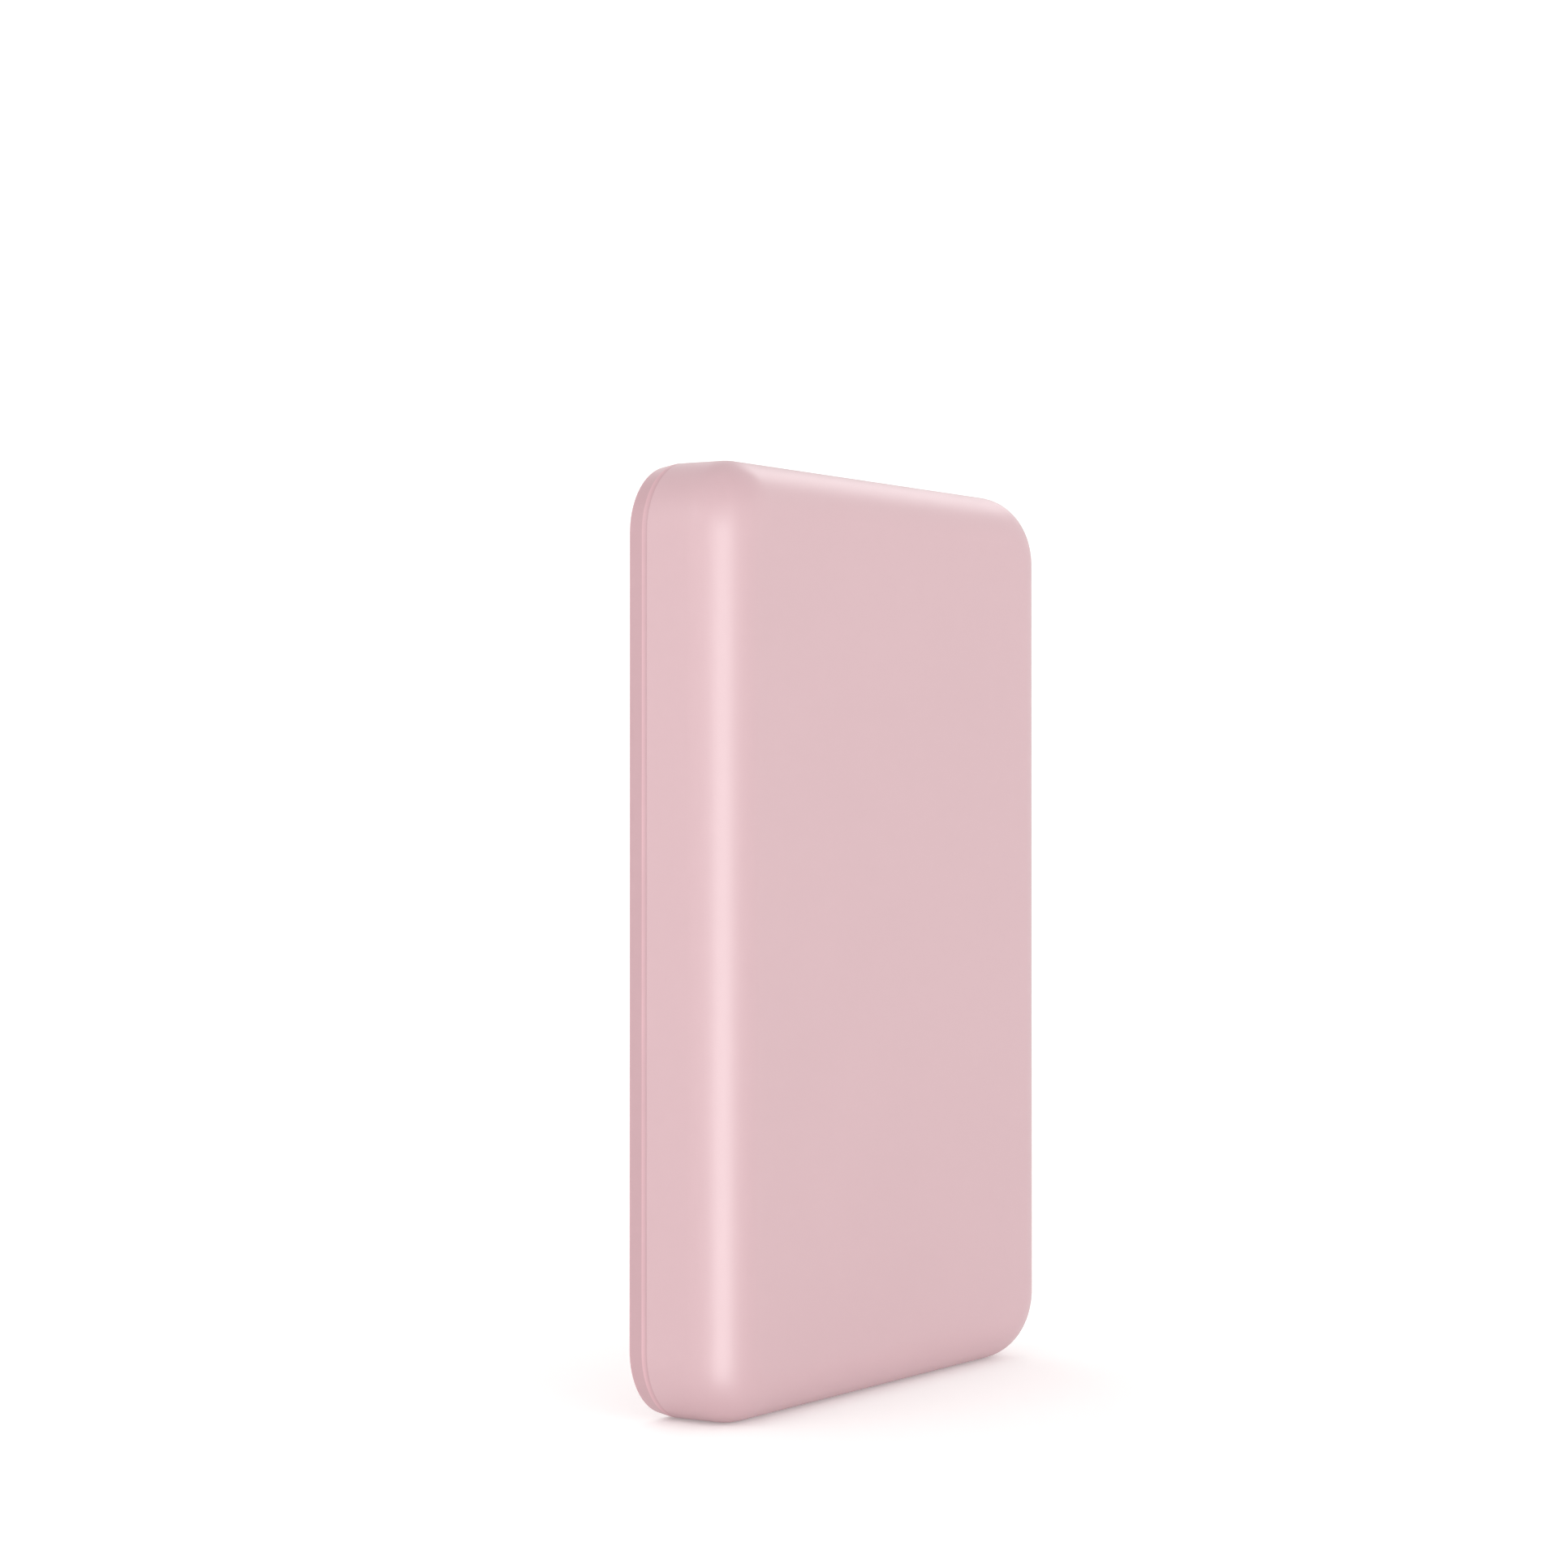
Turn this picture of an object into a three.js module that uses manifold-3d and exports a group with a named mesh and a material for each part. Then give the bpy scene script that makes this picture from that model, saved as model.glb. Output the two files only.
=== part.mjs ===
// A slim magnetic power bank that clings to the back of a phone and charges it through a coil.
//
// Every piece is laid out with the bank lying on its phone side: x runs across the bank,
// y runs along it, and z is the depth measured from the phone outwards, so a flat layer is
// just a pair of depths. The group at the end stands the bank on its bottom end, with +Z up,
// the phone side facing +Y and the origin at the centre of its base. All sizes are millimetres.

import * as THREE from "three";
import { mergeVertices } from "three/addons/utils/BufferGeometryUtils.js";
import Module from "manifold-3d";

const wasm = await Module();
wasm.setup();

// ---------------------------------------------------------------------------
// Driving dimensions
// ---------------------------------------------------------------------------

// The case.
const WIDTH = 65;
const HEIGHT = 96;
const THICKNESS = 12.4;
const CORNER_RADIUS = 7.5;
const FACE_FILLET = 5.4; // rounding between the outer face and the side walls
const WALL = 1.4;

// Clearances.
const FIT = 0.1; // between neighbouring pieces
const TOUCH = 0.05; // between pieces that bear on each other
const BEYOND = 1; // how far a cutting shape runs past what it cuts

// The rear cover, which closes the case on the phone side.
const SEAM = 2.5; // depth of the parting line
const SEAM_GAP = 0.1;
const RIM_INSET = 0.45; // how far the cover's edge rolls in towards the phone
const COVER_WALL = 1.2;
const LIP_WALL = 0.9;
const LIP_TOP = 3.3;

// The clips on the cover's lip, by their places along each long side and along each end.
const SIDE_CLIPS = [-37, 2, 20, 36];
const END_CLIPS = [-14, 14];
const CLIP_REACH = 0.3;
const CLIP_LENGTH = 5;
const CLIP_HEIGHT = 0.4;

// The silicone pad that touches the phone.
const PAD_RADIUS = 28.6;
const PAD_THICKNESS = 0.8;
const PAD_PROUD = 0.2;
const PAD_ROUND = 0.2;

// The inner frame, which holds the cell and takes the board's screws.
const FRAME_TO = 7;
const FRAME_INSET = WALL + 0.3;
const FRAME_WALL = 0.9;
const FRAME_RIB = 0.8;
const FRAME_LINTEL = 0.3; // what is left of the wall over the port, the lights and the button
const NOTCH_WIDTH = 1.8;
const NOTCH_HEIGHT = 1.4;

// The magnet ring and the charging coil share one centre, above the middle of the bank.
const RING_Y = 16.5;
const RING_OPENING = 40; // degrees left open at the bottom for the coil's leads
const MAGNET_COUNT = 14;
const MAGNET_INNER = 23;
const MAGNET_OUTER = 27.5;
const MAGNET_THICKNESS = 1.6;
const MAGNET_SPACE = 0.5; // degrees left free at each end of a magnet
const CARRIER_WALL = 0.5;
const CARRIER_TO = 3.6;
const BACK_RING_MARGIN = 0.4;
const BACK_RING_THICKNESS = 0.35;
const BAR_MAGNET = { width: 4.6, length: 15, radius: 0.8, round: 0.2, y: -23, from: 1.9, to: 3.4 };

// The charging coil, its leads and the sheets behind it.
const COIL_INNER = 9.6;
const COIL_TURNS = 7;
const COIL_PITCH = 1.55;
const COIL_WIRE = 1.25;
const COIL_FROM = 1.9;
const COIL_TO = 3;
const LEAD_RADIUS = 0.4;
const LEAD_ANGLE = 13.5; // degrees that each lead leaves the coil either side of straight down
const LEAD_X = 5.25;
const FERRITE_RADIUS = 21.9;
const FERRITE_TO = 3.65;
const FERRITE_SLOT = 1.5;
const SPREADER = { width: 46, length: 66, radius: 2, y: 2, from: 4.2, thickness: 0.25 };

// The battery cell lies to the left of the board's side arm.
const CELL_X = -4.5;
const CELL_WIDTH = 49.8;
const CELL_BOTTOM = -34.2;
const CELL_TOP = 36.9;
const CELL_FROM = 4.6;
const CELL_THICKNESS = 5.7;
const CELL_ROUND = 0.8;
const CELL_CORNER = 1.2;
const TERRACE = { inset: 1.5, length: 2.9, from: 6.2, to: 7 };
const TAB = { places: [-16, 7], width: 4, length: 4.1, depth: 6.5, sheet: 0.15 };
const FOAM = { width: 42, length: 60, radius: 2, thickness: 0.5 };
const PROTECTION = { x: -3, y: 43.1, width: 42, length: 3.8, from: 5.6 };
const PROTECTION_CHIP = { x: -6, width: 5, length: 2.6, height: 0.7 };
const WIRE_RADIUS = 0.6;

// The main board is an L: a strip along the bottom end and an arm up the right side.
const BOARD_FROM = 1.95;
const BOARD_THICKNESS = 0.8;
const BOARD_TOP = BOARD_FROM + BOARD_THICKNESS;
const BOARD_STRIP_TOP = -36;
const BOARD_ARM_LEFT = 21.6;
const BOARD_ARM_TOP = -2.5;
const STRIP_Y = -41; // middle of the row of parts on the strip
const INDUCTOR = { x: -19, y: STRIP_Y + 0.3, side: 7, radius: 0.6, round: 0.3, height: 3 };
const THERMISTOR = { x: 12, y: -29, radius: 0.75, length: 1.4, flat: 0.55, leg: 0.15, spread: 0.35 };

// Screws: two in the bottom corners of the board and one half way up its arm.
const CORNER_SCREW_X = 27.3;
const CORNER_SCREW_Y = -42.8;
const SCREWS = [
  [-CORNER_SCREW_X, CORNER_SCREW_Y],
  [CORNER_SCREW_X, CORNER_SCREW_Y],
  [23.4, -14.5],
];
const SCREW_RADIUS = 0.6;
const SCREW_HEAD = 1.4;
const SCREW_TIP = 5.4;
const CROSS = { width: 0.3, length: 1.5, depth: 0.2 };
const BOSS_RADIUS = 1.9;
const BOSS_FOOT = 1.6;
const PILOT_TOP = 6;

// What shows in the right side wall, all on one line along the wall.
const SIDE_DEPTH = 5;
const PORT_Y = -28;
const PORT_LENGTH = 8.94;
const PORT_HEIGHT = 3.16;
const PORT_SHEET = 0.3;
const PORT_DEPTH = 7.3;
const PORT_RECESS = 0.3;
const PORT_GAP = 0.2;
const PORT_CORE = 1.9;
const TONGUE = { thickness: 0.7, width: 6.7, round: 0.1, reach: 6.3 };
const BUTTON_Y = -8;
const BUTTON_LENGTH = 7;
const BUTTON_WIDTH = 2.6;
const BUTTON_RECESS = 0.05;
const BUTTON_GAP = 0.12;
const BUTTON_ROUND = 0.25;
const FLANGE = { width: 3.2, length: 8.6, radius: 0.6, thickness: 0.5 };
const STEM_RADIUS = 0.9;

// The LEDs on the board and the light pipe in front of them.
const LED_COUNT = 4;
const LED_PITCH = 2;
const LED_FIRST_Y = -20;
const LED = { x: 28.2, depth: 1, width: 1.4, height: 1.2 };
const PIPE_PIN = 0.5;
const PIPE_BAR = { thickness: 0.85, margin: 1, above: 0.8 };
const PIPE_GAP = 0.15;

// The switch behind the button.
const SWITCH_BACK = 24.6;
const SWITCH_FRONT = 28;
const SWITCH_HALF = 3;
const SWITCH_TOP = 6.5;
const CHAMBER_BACK = 26.2;
const CHAMBER_RADIUS = 1.35;
const SWITCH_SHEET = 0.2;
const PLUNGER = { back: 26.95, shoulder: 27.6, tip: 28.9, radius: 1.15, pin: 0.75 };
const DOME = { radius: 1.15, sheet: 0.08, steps: 3 };

// How finely curves are divided. An arc in a shape gets two facets for each of its steps.
const CORNER_STEPS = 4;
const FILLET_STEPS = 7;
const RIM_STEPS = 5;
const RING_STEPS = 24;
const COIL_STEPS = 24; // facets per turn
const SMALL_STEPS = 2;
const TURNED_STEPS = 12;

// ---------------------------------------------------------------------------
// Places worked out from the driving dimensions
// ---------------------------------------------------------------------------

const SIDE_OUT = WIDTH / 2;
const SIDE_IN = SIDE_OUT - WALL;
const END_IN = HEIGHT / 2 - WALL;
const COVER_INSIDE = PAD_PROUD + COVER_WALL;
const LIP_INSET = WALL + FIT;
const LIP_SIDE = SIDE_OUT - LIP_INSET;
const LIP_END = HEIGHT / 2 - LIP_INSET;
const FRAME_FROM = LIP_TOP + FIT;
const FRAME_SIDE = SIDE_OUT - FRAME_INSET - FRAME_WALL;
const CELL_TO = CELL_FROM + CELL_THICKNESS;
const CELL_MIDDLE = (CELL_TOP + CELL_BOTTOM) / 2;
const TERRACE_TOP = CELL_TOP + TERRACE.length;
const MAGNET_FROM = COVER_INSIDE + 2 * FIT;
const MAGNET_TO = MAGNET_FROM + MAGNET_THICKNESS;
const ON_BOARD = BOARD_TOP + TOUCH;
const LEAD_END_Y = BOARD_STRIP_TOP - 1.5;
const LEAD_OVER_BOARD = BOARD_TOP + 0.35 + LEAD_RADIUS;

// The ring's two ends, in degrees, either side of the opening at the bottom.
const RING_START = -90 + RING_OPENING / 2;
const RING_END = 270 - RING_OPENING / 2;

// ---------------------------------------------------------------------------
// Shapes and solids
// ---------------------------------------------------------------------------

function degrees(angle) {
  return THREE.MathUtils.degToRad(angle);
}

// A rectangle with rounded corners, centred on the origin.
function roundedRect(width, height, radius) {
  const x = width / 2 - radius;
  const y = height / 2 - radius;
  const shape = new THREE.Shape();
  shape.absarc(x, y, radius, 0, Math.PI / 2);
  shape.absarc(-x, y, radius, Math.PI / 2, Math.PI);
  shape.absarc(-x, -y, radius, Math.PI, 1.5 * Math.PI);
  shape.absarc(x, -y, radius, 1.5 * Math.PI, 2 * Math.PI);
  shape.closePath();
  return shape;
}

// The case's outline, drawn in all round by inset.
function caseOutline(inset) {
  return roundedRect(WIDTH - 2 * inset, HEIGHT - 2 * inset, CORNER_RADIUS - inset);
}

function circle(radius) {
  return new THREE.Shape().absarc(0, 0, radius, 0, 2 * Math.PI);
}

// Part of a flat ring, counter-clockwise from one angle to another in degrees.
function ringSector(inner, outer, from, to) {
  const shape = new THREE.Shape();
  shape.absarc(0, 0, outer, degrees(from), degrees(to), false);
  shape.absarc(0, 0, inner, degrees(to), degrees(from), true);
  shape.closePath();
  return shape;
}

// A shape in the x-y plane given depth from one z to another.
function prism(shape, from, to, steps = CORNER_STEPS) {
  const geometry = new THREE.ExtrudeGeometry(shape, {
    depth: to - from,
    bevelEnabled: false,
    curveSegments: steps,
  });
  return geometry.translate(0, 0, from);
}

// A shape that swells by round from both ends, so that it has rounded edges.
function roundedPrism(shape, from, to, round, steps = 3, curveSteps = CORNER_STEPS) {
  const geometry = new THREE.ExtrudeGeometry(shape, {
    depth: to - from - 2 * round,
    bevelThickness: round,
    bevelSize: round,
    bevelSegments: steps,
    curveSegments: curveSteps,
  });
  return geometry.translate(0, 0, from + round);
}

// A box between two corners.
function block(x0, x1, y0, y1, z0, z1) {
  const geometry = new THREE.BoxGeometry(x1 - x0, y1 - y0, z1 - z0);
  return geometry.translate((x0 + x1) / 2, (y0 + y1) / 2, (z0 + z1) / 2);
}

// A box of a given size with its middle at x, y and its foot at depth z.
function chip(x, y, z, width, length, height) {
  return block(x - width / 2, x + width / 2, y - length / 2, y + length / 2, z, z + height);
}

// Turns a solid so that its depth runs towards +x, on the line of what shows in the side wall.
function throughSide(geometry, y) {
  return geometry.rotateY(Math.PI / 2).translate(0, y, SIDE_DEPTH);
}

// A stadium outline for the side wall: narrow across the wall, long along it.
function pill(across, along) {
  return roundedRect(across, along, across / 2 - 0.01);
}

// A round bar that follows a smooth curve through the given points.
function bar(points, radius, steps) {
  const path = new THREE.CatmullRomCurve3(points.map((p) => new THREE.Vector3(...p)));
  return new THREE.ExtrudeGeometry(circle(radius), {
    steps,
    curveSegments: 4,
    bevelEnabled: false,
    extrudePath: path,
  });
}

// A solid turned about z from a list of [radius, depth] points that starts and ends on the axis.
function turned(profile, steps = 24) {
  const points = profile.map(([radius, depth]) => new THREE.Vector2(radius, depth));
  return new THREE.LatheGeometry(points, steps).rotateX(Math.PI / 2);
}

// A closed geometry as a manifold-3d solid, for cutting and joining.
function solid(geometry) {
  const bare = geometry.clone();
  bare.deleteAttribute("normal");
  bare.deleteAttribute("uv");
  const merged = mergeVertices(bare, 1e-4);
  return new wasm.Manifold(
    new wasm.Mesh({
      numProp: 3,
      vertProperties: merged.attributes.position.array,
      triVerts: new Uint32Array(merged.index.array),
    }),
  );
}

// The first solid with every further one joined to it.
function join(first, ...others) {
  return others.reduce((sum, other) => sum.add(other), first);
}

// The first solid with every further one cut from it.
function cut(first, ...others) {
  return others.reduce((rest, other) => rest.subtract(other), first);
}

// A manifold-3d solid as a flat-shaded geometry.
function geometryOf(manifold) {
  const mesh = manifold.getMesh();
  const indexed = new THREE.BufferGeometry();
  indexed.setAttribute("position", new THREE.BufferAttribute(mesh.vertProperties, 3));
  indexed.setIndex(new THREE.BufferAttribute(mesh.triVerts, 1));
  const geometry = indexed.toNonIndexed();
  geometry.computeVertexNormals();
  return geometry;
}

// ---------------------------------------------------------------------------
// Casing
// ---------------------------------------------------------------------------

// The case as a full block from a given depth out to its rounded outer face, drawn in by inset.
function caseBlock(inset, from) {
  const fillet = FACE_FILLET - inset;
  const geometry = new THREE.ExtrudeGeometry(caseOutline(FACE_FILLET), {
    depth: THICKNESS - FACE_FILLET - from,
    bevelThickness: fillet,
    bevelSize: fillet,
    bevelSegments: FILLET_STEPS,
    curveSegments: CORNER_STEPS,
  });
  const above = block(-WIDTH, WIDTH, -HEIGHT, HEIGHT, from, 2 * THICKNESS);
  return solid(geometry.translate(0, 0, from)).intersect(solid(above));
}

// One block for each clip: grown by extra in every direction to cut its groove.
function clipBlocks(extra) {
  const high = LIP_TOP - FIT + extra;
  const low = high - CLIP_HEIGHT - 2 * extra;
  const half = CLIP_LENGTH / 2 + extra;
  const reach = CLIP_REACH + extra;
  const span = (side, wall) => [side * (wall - CLIP_REACH), side * (wall + reach)].sort((a, b) => a - b);
  const blocks = [];
  for (const side of [-1, 1]) {
    for (const y of SIDE_CLIPS) {
      blocks.push(solid(block(...span(side, LIP_SIDE), y - half, y + half, low, high)));
    }
    for (const x of END_CLIPS) {
      blocks.push(solid(block(x - half, x + half, ...span(side, LIP_END), low, high)));
    }
  }
  return blocks;
}

function ledPlaces() {
  return Array.from({ length: LED_COUNT }, (_, i) => LED_FIRST_Y + i * LED_PITCH);
}

// A cutter through the right side wall for something of the given outline, centred at y.
function sideHole(outline, y) {
  return solid(throughSide(prism(outline, SIDE_IN - BEYOND, SIDE_OUT + BEYOND), y));
}

function frontShell() {
  const from = SEAM + SEAM_GAP / 2;
  const port = pill(PORT_HEIGHT + 2 * PORT_GAP, PORT_LENGTH + 2 * PORT_GAP);
  const button = pill(BUTTON_WIDTH + 2 * BUTTON_GAP, BUTTON_LENGTH + 2 * BUTTON_GAP);
  return cut(
    caseBlock(0, from),
    caseBlock(WALL, from - BEYOND),
    sideHole(port, PORT_Y),
    sideHole(button, BUTTON_Y),
    ...ledPlaces().map((y) => sideHole(circle(PIPE_PIN + FIT), y)),
    ...clipBlocks(FIT),
  );
}

function rearCover() {
  const to = SEAM - SEAM_GAP / 2;
  const rim = new THREE.ExtrudeGeometry(caseOutline(RIM_INSET), {
    depth: BEYOND,
    bevelThickness: to - PAD_PROUD,
    bevelSize: RIM_INSET,
    bevelSegments: RIM_STEPS,
    curveSegments: CORNER_STEPS,
  });
  const below = block(-WIDTH, WIDTH, -HEIGHT, HEIGHT, -BEYOND, to);
  const plate = solid(rim.translate(0, 0, to)).intersect(solid(below));
  const lip = prism(caseOutline(LIP_INSET), COVER_INSIDE, LIP_TOP);
  const hollow = prism(caseOutline(LIP_INSET + LIP_WALL), COVER_INSIDE, LIP_TOP + BEYOND);
  const recess = prism(circle(PAD_RADIUS + FIT), 0, PAD_THICKNESS + FIT, RING_STEPS);
  return cut(
    join(plate, solid(lip), ...clipBlocks(0)),
    solid(hollow),
    solid(recess.translate(0, RING_Y, 0)),
  );
}

// A soft disc with a rounded edge, glued into the recess of the rear cover.
function contactPad() {
  const outline = circle(PAD_RADIUS - PAD_ROUND);
  const disc = roundedPrism(outline, 0, PAD_THICKNESS, PAD_ROUND, SMALL_STEPS, RING_STEPS);
  return disc.translate(0, RING_Y, 0);
}

// The inner frame: a wall round the inside of the case, ribs beside the cell and screw bosses.
function midFrame() {
  const ring = prism(caseOutline(FRAME_INSET), FRAME_FROM, FRAME_TO);
  const inside = prism(
    caseOutline(FRAME_INSET + FRAME_WALL),
    FRAME_FROM - BEYOND,
    FRAME_TO + BEYOND,
  );
  const ribRight = BOARD_ARM_LEFT + FIT;
  const ribLeft = ribRight - FRAME_RIB;
  const ribTop = CELL_BOTTOM - 4 * FIT;
  const ribs = [
    block(-FRAME_SIDE - FIT, ribRight, ribTop - FRAME_RIB, ribTop, FRAME_FROM, FRAME_TO),
    block(ribLeft, ribRight, ribTop - FRAME_RIB, BOARD_ARM_TOP, FRAME_FROM, FRAME_TO),
    block(ribLeft, ribRight, BOARD_ARM_TOP, CELL_TOP, CELL_FROM, FRAME_TO),
  ];
  const bosses = SCREWS.flatMap(([x, y]) => [
    prism(circle(BOSS_RADIUS), FRAME_FROM, FRAME_TO, 6).translate(x, y, 0),
    prism(circle(BOSS_FOOT), ON_BOARD, FRAME_FROM + BEYOND, 6).translate(x, y, 0),
  ]);
  const pilots = SCREWS.map(([x, y]) =>
    prism(circle(SCREW_RADIUS + FIT), ON_BOARD - BEYOND, PILOT_TOP).translate(x, y, 0),
  );
  const notches = [-LEAD_X, LEAD_X, THERMISTOR.x].map((x) =>
    chip(
      x,
      ribTop - FRAME_RIB / 2,
      FRAME_FROM - BEYOND,
      NOTCH_WIDTH,
      2 * FRAME_RIB,
      BEYOND + NOTCH_HEIGHT,
    ),
  );
  const window = block(
    FRAME_SIDE - BEYOND,
    SIDE_IN,
    PORT_Y - PORT_LENGTH / 2 - BEYOND,
    BUTTON_Y + BUTTON_LENGTH / 2 + BEYOND,
    FRAME_FROM - BEYOND,
    FRAME_TO - FRAME_LINTEL,
  );
  return cut(
    join(cut(solid(ring), solid(inside)), ...ribs.map(solid), ...bosses.map(solid)),
    ...pilots.map(solid),
    ...notches.map(solid),
    solid(window),
  );
}

// ---------------------------------------------------------------------------
// Battery
// ---------------------------------------------------------------------------

// The pouch: a pillow-edged block with a thin sealed terrace at its top end.
function batteryCell() {
  const outline = roundedRect(
    CELL_WIDTH - 2 * CELL_ROUND,
    CELL_TOP - CELL_BOTTOM - 2 * CELL_ROUND,
    CELL_CORNER,
  );
  const body = roundedPrism(outline, CELL_FROM, CELL_TO, CELL_ROUND, 3, SMALL_STEPS);
  const half = CELL_WIDTH / 2 - TERRACE.inset;
  const terrace = block(
    CELL_X - half,
    CELL_X + half,
    CELL_TOP - BEYOND,
    TERRACE_TOP,
    TERRACE.from,
    TERRACE.to,
  );
  return join(solid(body.translate(CELL_X, CELL_MIDDLE, 0)), solid(terrace));
}

function cellTab(x) {
  const y = TERRACE_TOP + FIT + TAB.length / 2;
  return chip(x, y, TAB.depth, TAB.width, TAB.length, TAB.sheet);
}

// Closed-cell foam that takes up the cell's swelling against the outer face.
function cellFoam() {
  const from = CELL_TO + FIT;
  const outline = roundedRect(FOAM.width, FOAM.length, FOAM.radius);
  return prism(outline, from, from + FOAM.thickness, SMALL_STEPS).translate(CELL_X, CELL_MIDDLE, 0);
}

function protectionBoard() {
  const { x, y, from, width, length } = PROTECTION;
  return chip(x, y, from, width, length, BOARD_THICKNESS);
}

// The chip on the underside of the protection board.
function protectionChip() {
  const { x, width, length, height } = PROTECTION_CHIP;
  return chip(x, PROTECTION.y, PROTECTION.from - TOUCH - height, width, length, height);
}

// A wire from the protection board, round the cell's top corner and down to the main board.
function batteryWire(x, top) {
  const high = PROTECTION.from - FIT - WIRE_RADIUS;
  const low = BOARD_TOP + 2 * FIT + WIRE_RADIUS;
  return bar(
    [
      [16.5, top, high],
      [21, top, high],
      [x - 0.6, top - 1, high],
      [x, top - 6, high],
      [x, 20, high],
      [x, 2.5, high],
      [x, -1.5, (high + low) / 2],
      [x, -3.8, low],
      [x, -4.7, low],
    ],
    WIRE_RADIUS,
    26,
  );
}

// ---------------------------------------------------------------------------
// Charging coil and magnets
// ---------------------------------------------------------------------------

function coilRadius(turn) {
  return COIL_INNER + COIL_PITCH * turn;
}

// A flat spiral wound outwards, with both of its ends towards the opening in the ring.
function chargingCoil() {
  const start = -90 - LEAD_ANGLE;
  const turns = COIL_TURNS + (2 * LEAD_ANGLE) / 360;
  const steps = Math.round(turns * COIL_STEPS);
  const edge = (offset) =>
    Array.from({ length: steps + 1 }, (_, i) => {
      const turn = (turns * i) / steps;
      const angle = degrees(start) + 2 * Math.PI * turn;
      const radius = coilRadius(turn) + offset;
      return new THREE.Vector2(radius * Math.cos(angle), radius * Math.sin(angle));
    });
  const outline = [...edge(COIL_WIRE), ...edge(0).reverse()];
  return prism(new THREE.Shape(outline), COIL_FROM, COIL_TO).translate(0, RING_Y, 0);
}

// The lead from the inner end crosses the coil in the slot of the ferrite sheet.
function innerLead() {
  const angle = degrees(-90 - LEAD_ANGLE);
  const at = (radius) => [radius * Math.cos(angle), RING_Y + radius * Math.sin(angle)];
  const depth = COIL_TO + FIT + LEAD_RADIUS;
  return bar(
    [
      [...at(COIL_INNER + COIL_WIRE / 2), depth],
      [...at((COIL_INNER + FERRITE_RADIUS) / 2), depth],
      [...at(FERRITE_RADIUS), depth],
      [-LEAD_X, RING_Y - 26, depth],
      [-LEAD_X, -25, depth],
      [-LEAD_X, LEAD_END_Y, LEAD_OVER_BOARD],
    ],
    LEAD_RADIUS,
    16,
  );
}

function outerLead() {
  const radius = coilRadius(COIL_TURNS) + COIL_WIRE / 2;
  const angle = degrees(-90 + LEAD_ANGLE + 3);
  const depth = (COIL_FROM + COIL_TO) / 2;
  return bar(
    [
      [radius * Math.cos(angle), RING_Y + radius * Math.sin(angle), depth],
      [LEAD_X + 0.5, RING_Y - 23.5, depth],
      [LEAD_X, RING_Y - 26.5, depth],
      [LEAD_X, -25, LEAD_OVER_BOARD],
      [LEAD_X, LEAD_END_Y, LEAD_OVER_BOARD],
    ],
    LEAD_RADIUS,
    16,
  );
}

// The sheet that turns the coil's field back towards the phone, slotted for the inner lead.
function ferriteSheet() {
  const disc = prism(circle(FERRITE_RADIUS), COIL_TO + FIT, FERRITE_TO, RING_STEPS);
  const slot = block(
    COIL_INNER - COIL_WIRE / 2,
    FERRITE_RADIUS + BEYOND,
    -FERRITE_SLOT / 2,
    FERRITE_SLOT / 2,
    COIL_TO - BEYOND,
    FERRITE_TO + BEYOND,
  );
  slot.rotateZ(degrees(-90 - LEAD_ANGLE));
  return cut(solid(disc), solid(slot)).translate([0, RING_Y, 0]);
}

function heatSpreader() {
  const { width, length, radius, y, from, thickness } = SPREADER;
  const sheet = prism(roundedRect(width, length, radius), from, from + thickness, SMALL_STEPS);
  return sheet.translate(CELL_X, y, 0);
}

// A ring-shaped tray that holds the magnets from behind.
function magnetCarrier() {
  const inner = MAGNET_INNER - 2 * FIT;
  const outer = MAGNET_OUTER + 2 * FIT;
  const openEnd = 5; // degrees that the trough runs past the tray's ends
  const tray = ringSector(inner - CARRIER_WALL, outer + CARRIER_WALL, RING_START, RING_END);
  const trough = ringSector(inner, outer, RING_START - openEnd, RING_END + openEnd);
  return cut(
    solid(prism(tray, MAGNET_FROM - TOUCH, CARRIER_TO, RING_STEPS)),
    solid(prism(trough, MAGNET_FROM - BEYOND, MAGNET_TO + FIT, RING_STEPS)),
  ).translate([0, RING_Y, 0]);
}

function backRing() {
  const ring = ringSector(
    MAGNET_INNER - BACK_RING_MARGIN,
    MAGNET_OUTER + BACK_RING_MARGIN,
    RING_START,
    RING_END,
  );
  const from = CARRIER_TO + FIT;
  return prism(ring, from, from + BACK_RING_THICKNESS, RING_STEPS).translate(0, RING_Y, 0);
}

// One of the arc magnets: they share the ring's sweep equally, with a small gap between them.
function ringMagnet(index) {
  const share = (RING_END - RING_START) / MAGNET_COUNT;
  const from = RING_START + index * share + MAGNET_SPACE;
  const sector = ringSector(MAGNET_INNER, MAGNET_OUTER, from, from + share - 2 * MAGNET_SPACE);
  return prism(sector, MAGNET_FROM, MAGNET_TO, SMALL_STEPS).translate(0, RING_Y, 0);
}

// The bar magnet below the ring, which keeps the bank straight on the phone.
function alignmentMagnet() {
  const { width, length, radius, round, y, from, to } = BAR_MAGNET;
  const outline = roundedRect(width - 2 * round, length - 2 * round, radius);
  return roundedPrism(outline, from, to, round, 1, SMALL_STEPS).translate(0, y, 0);
}

// ---------------------------------------------------------------------------
// Main board and what is soldered to it
// ---------------------------------------------------------------------------

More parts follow.
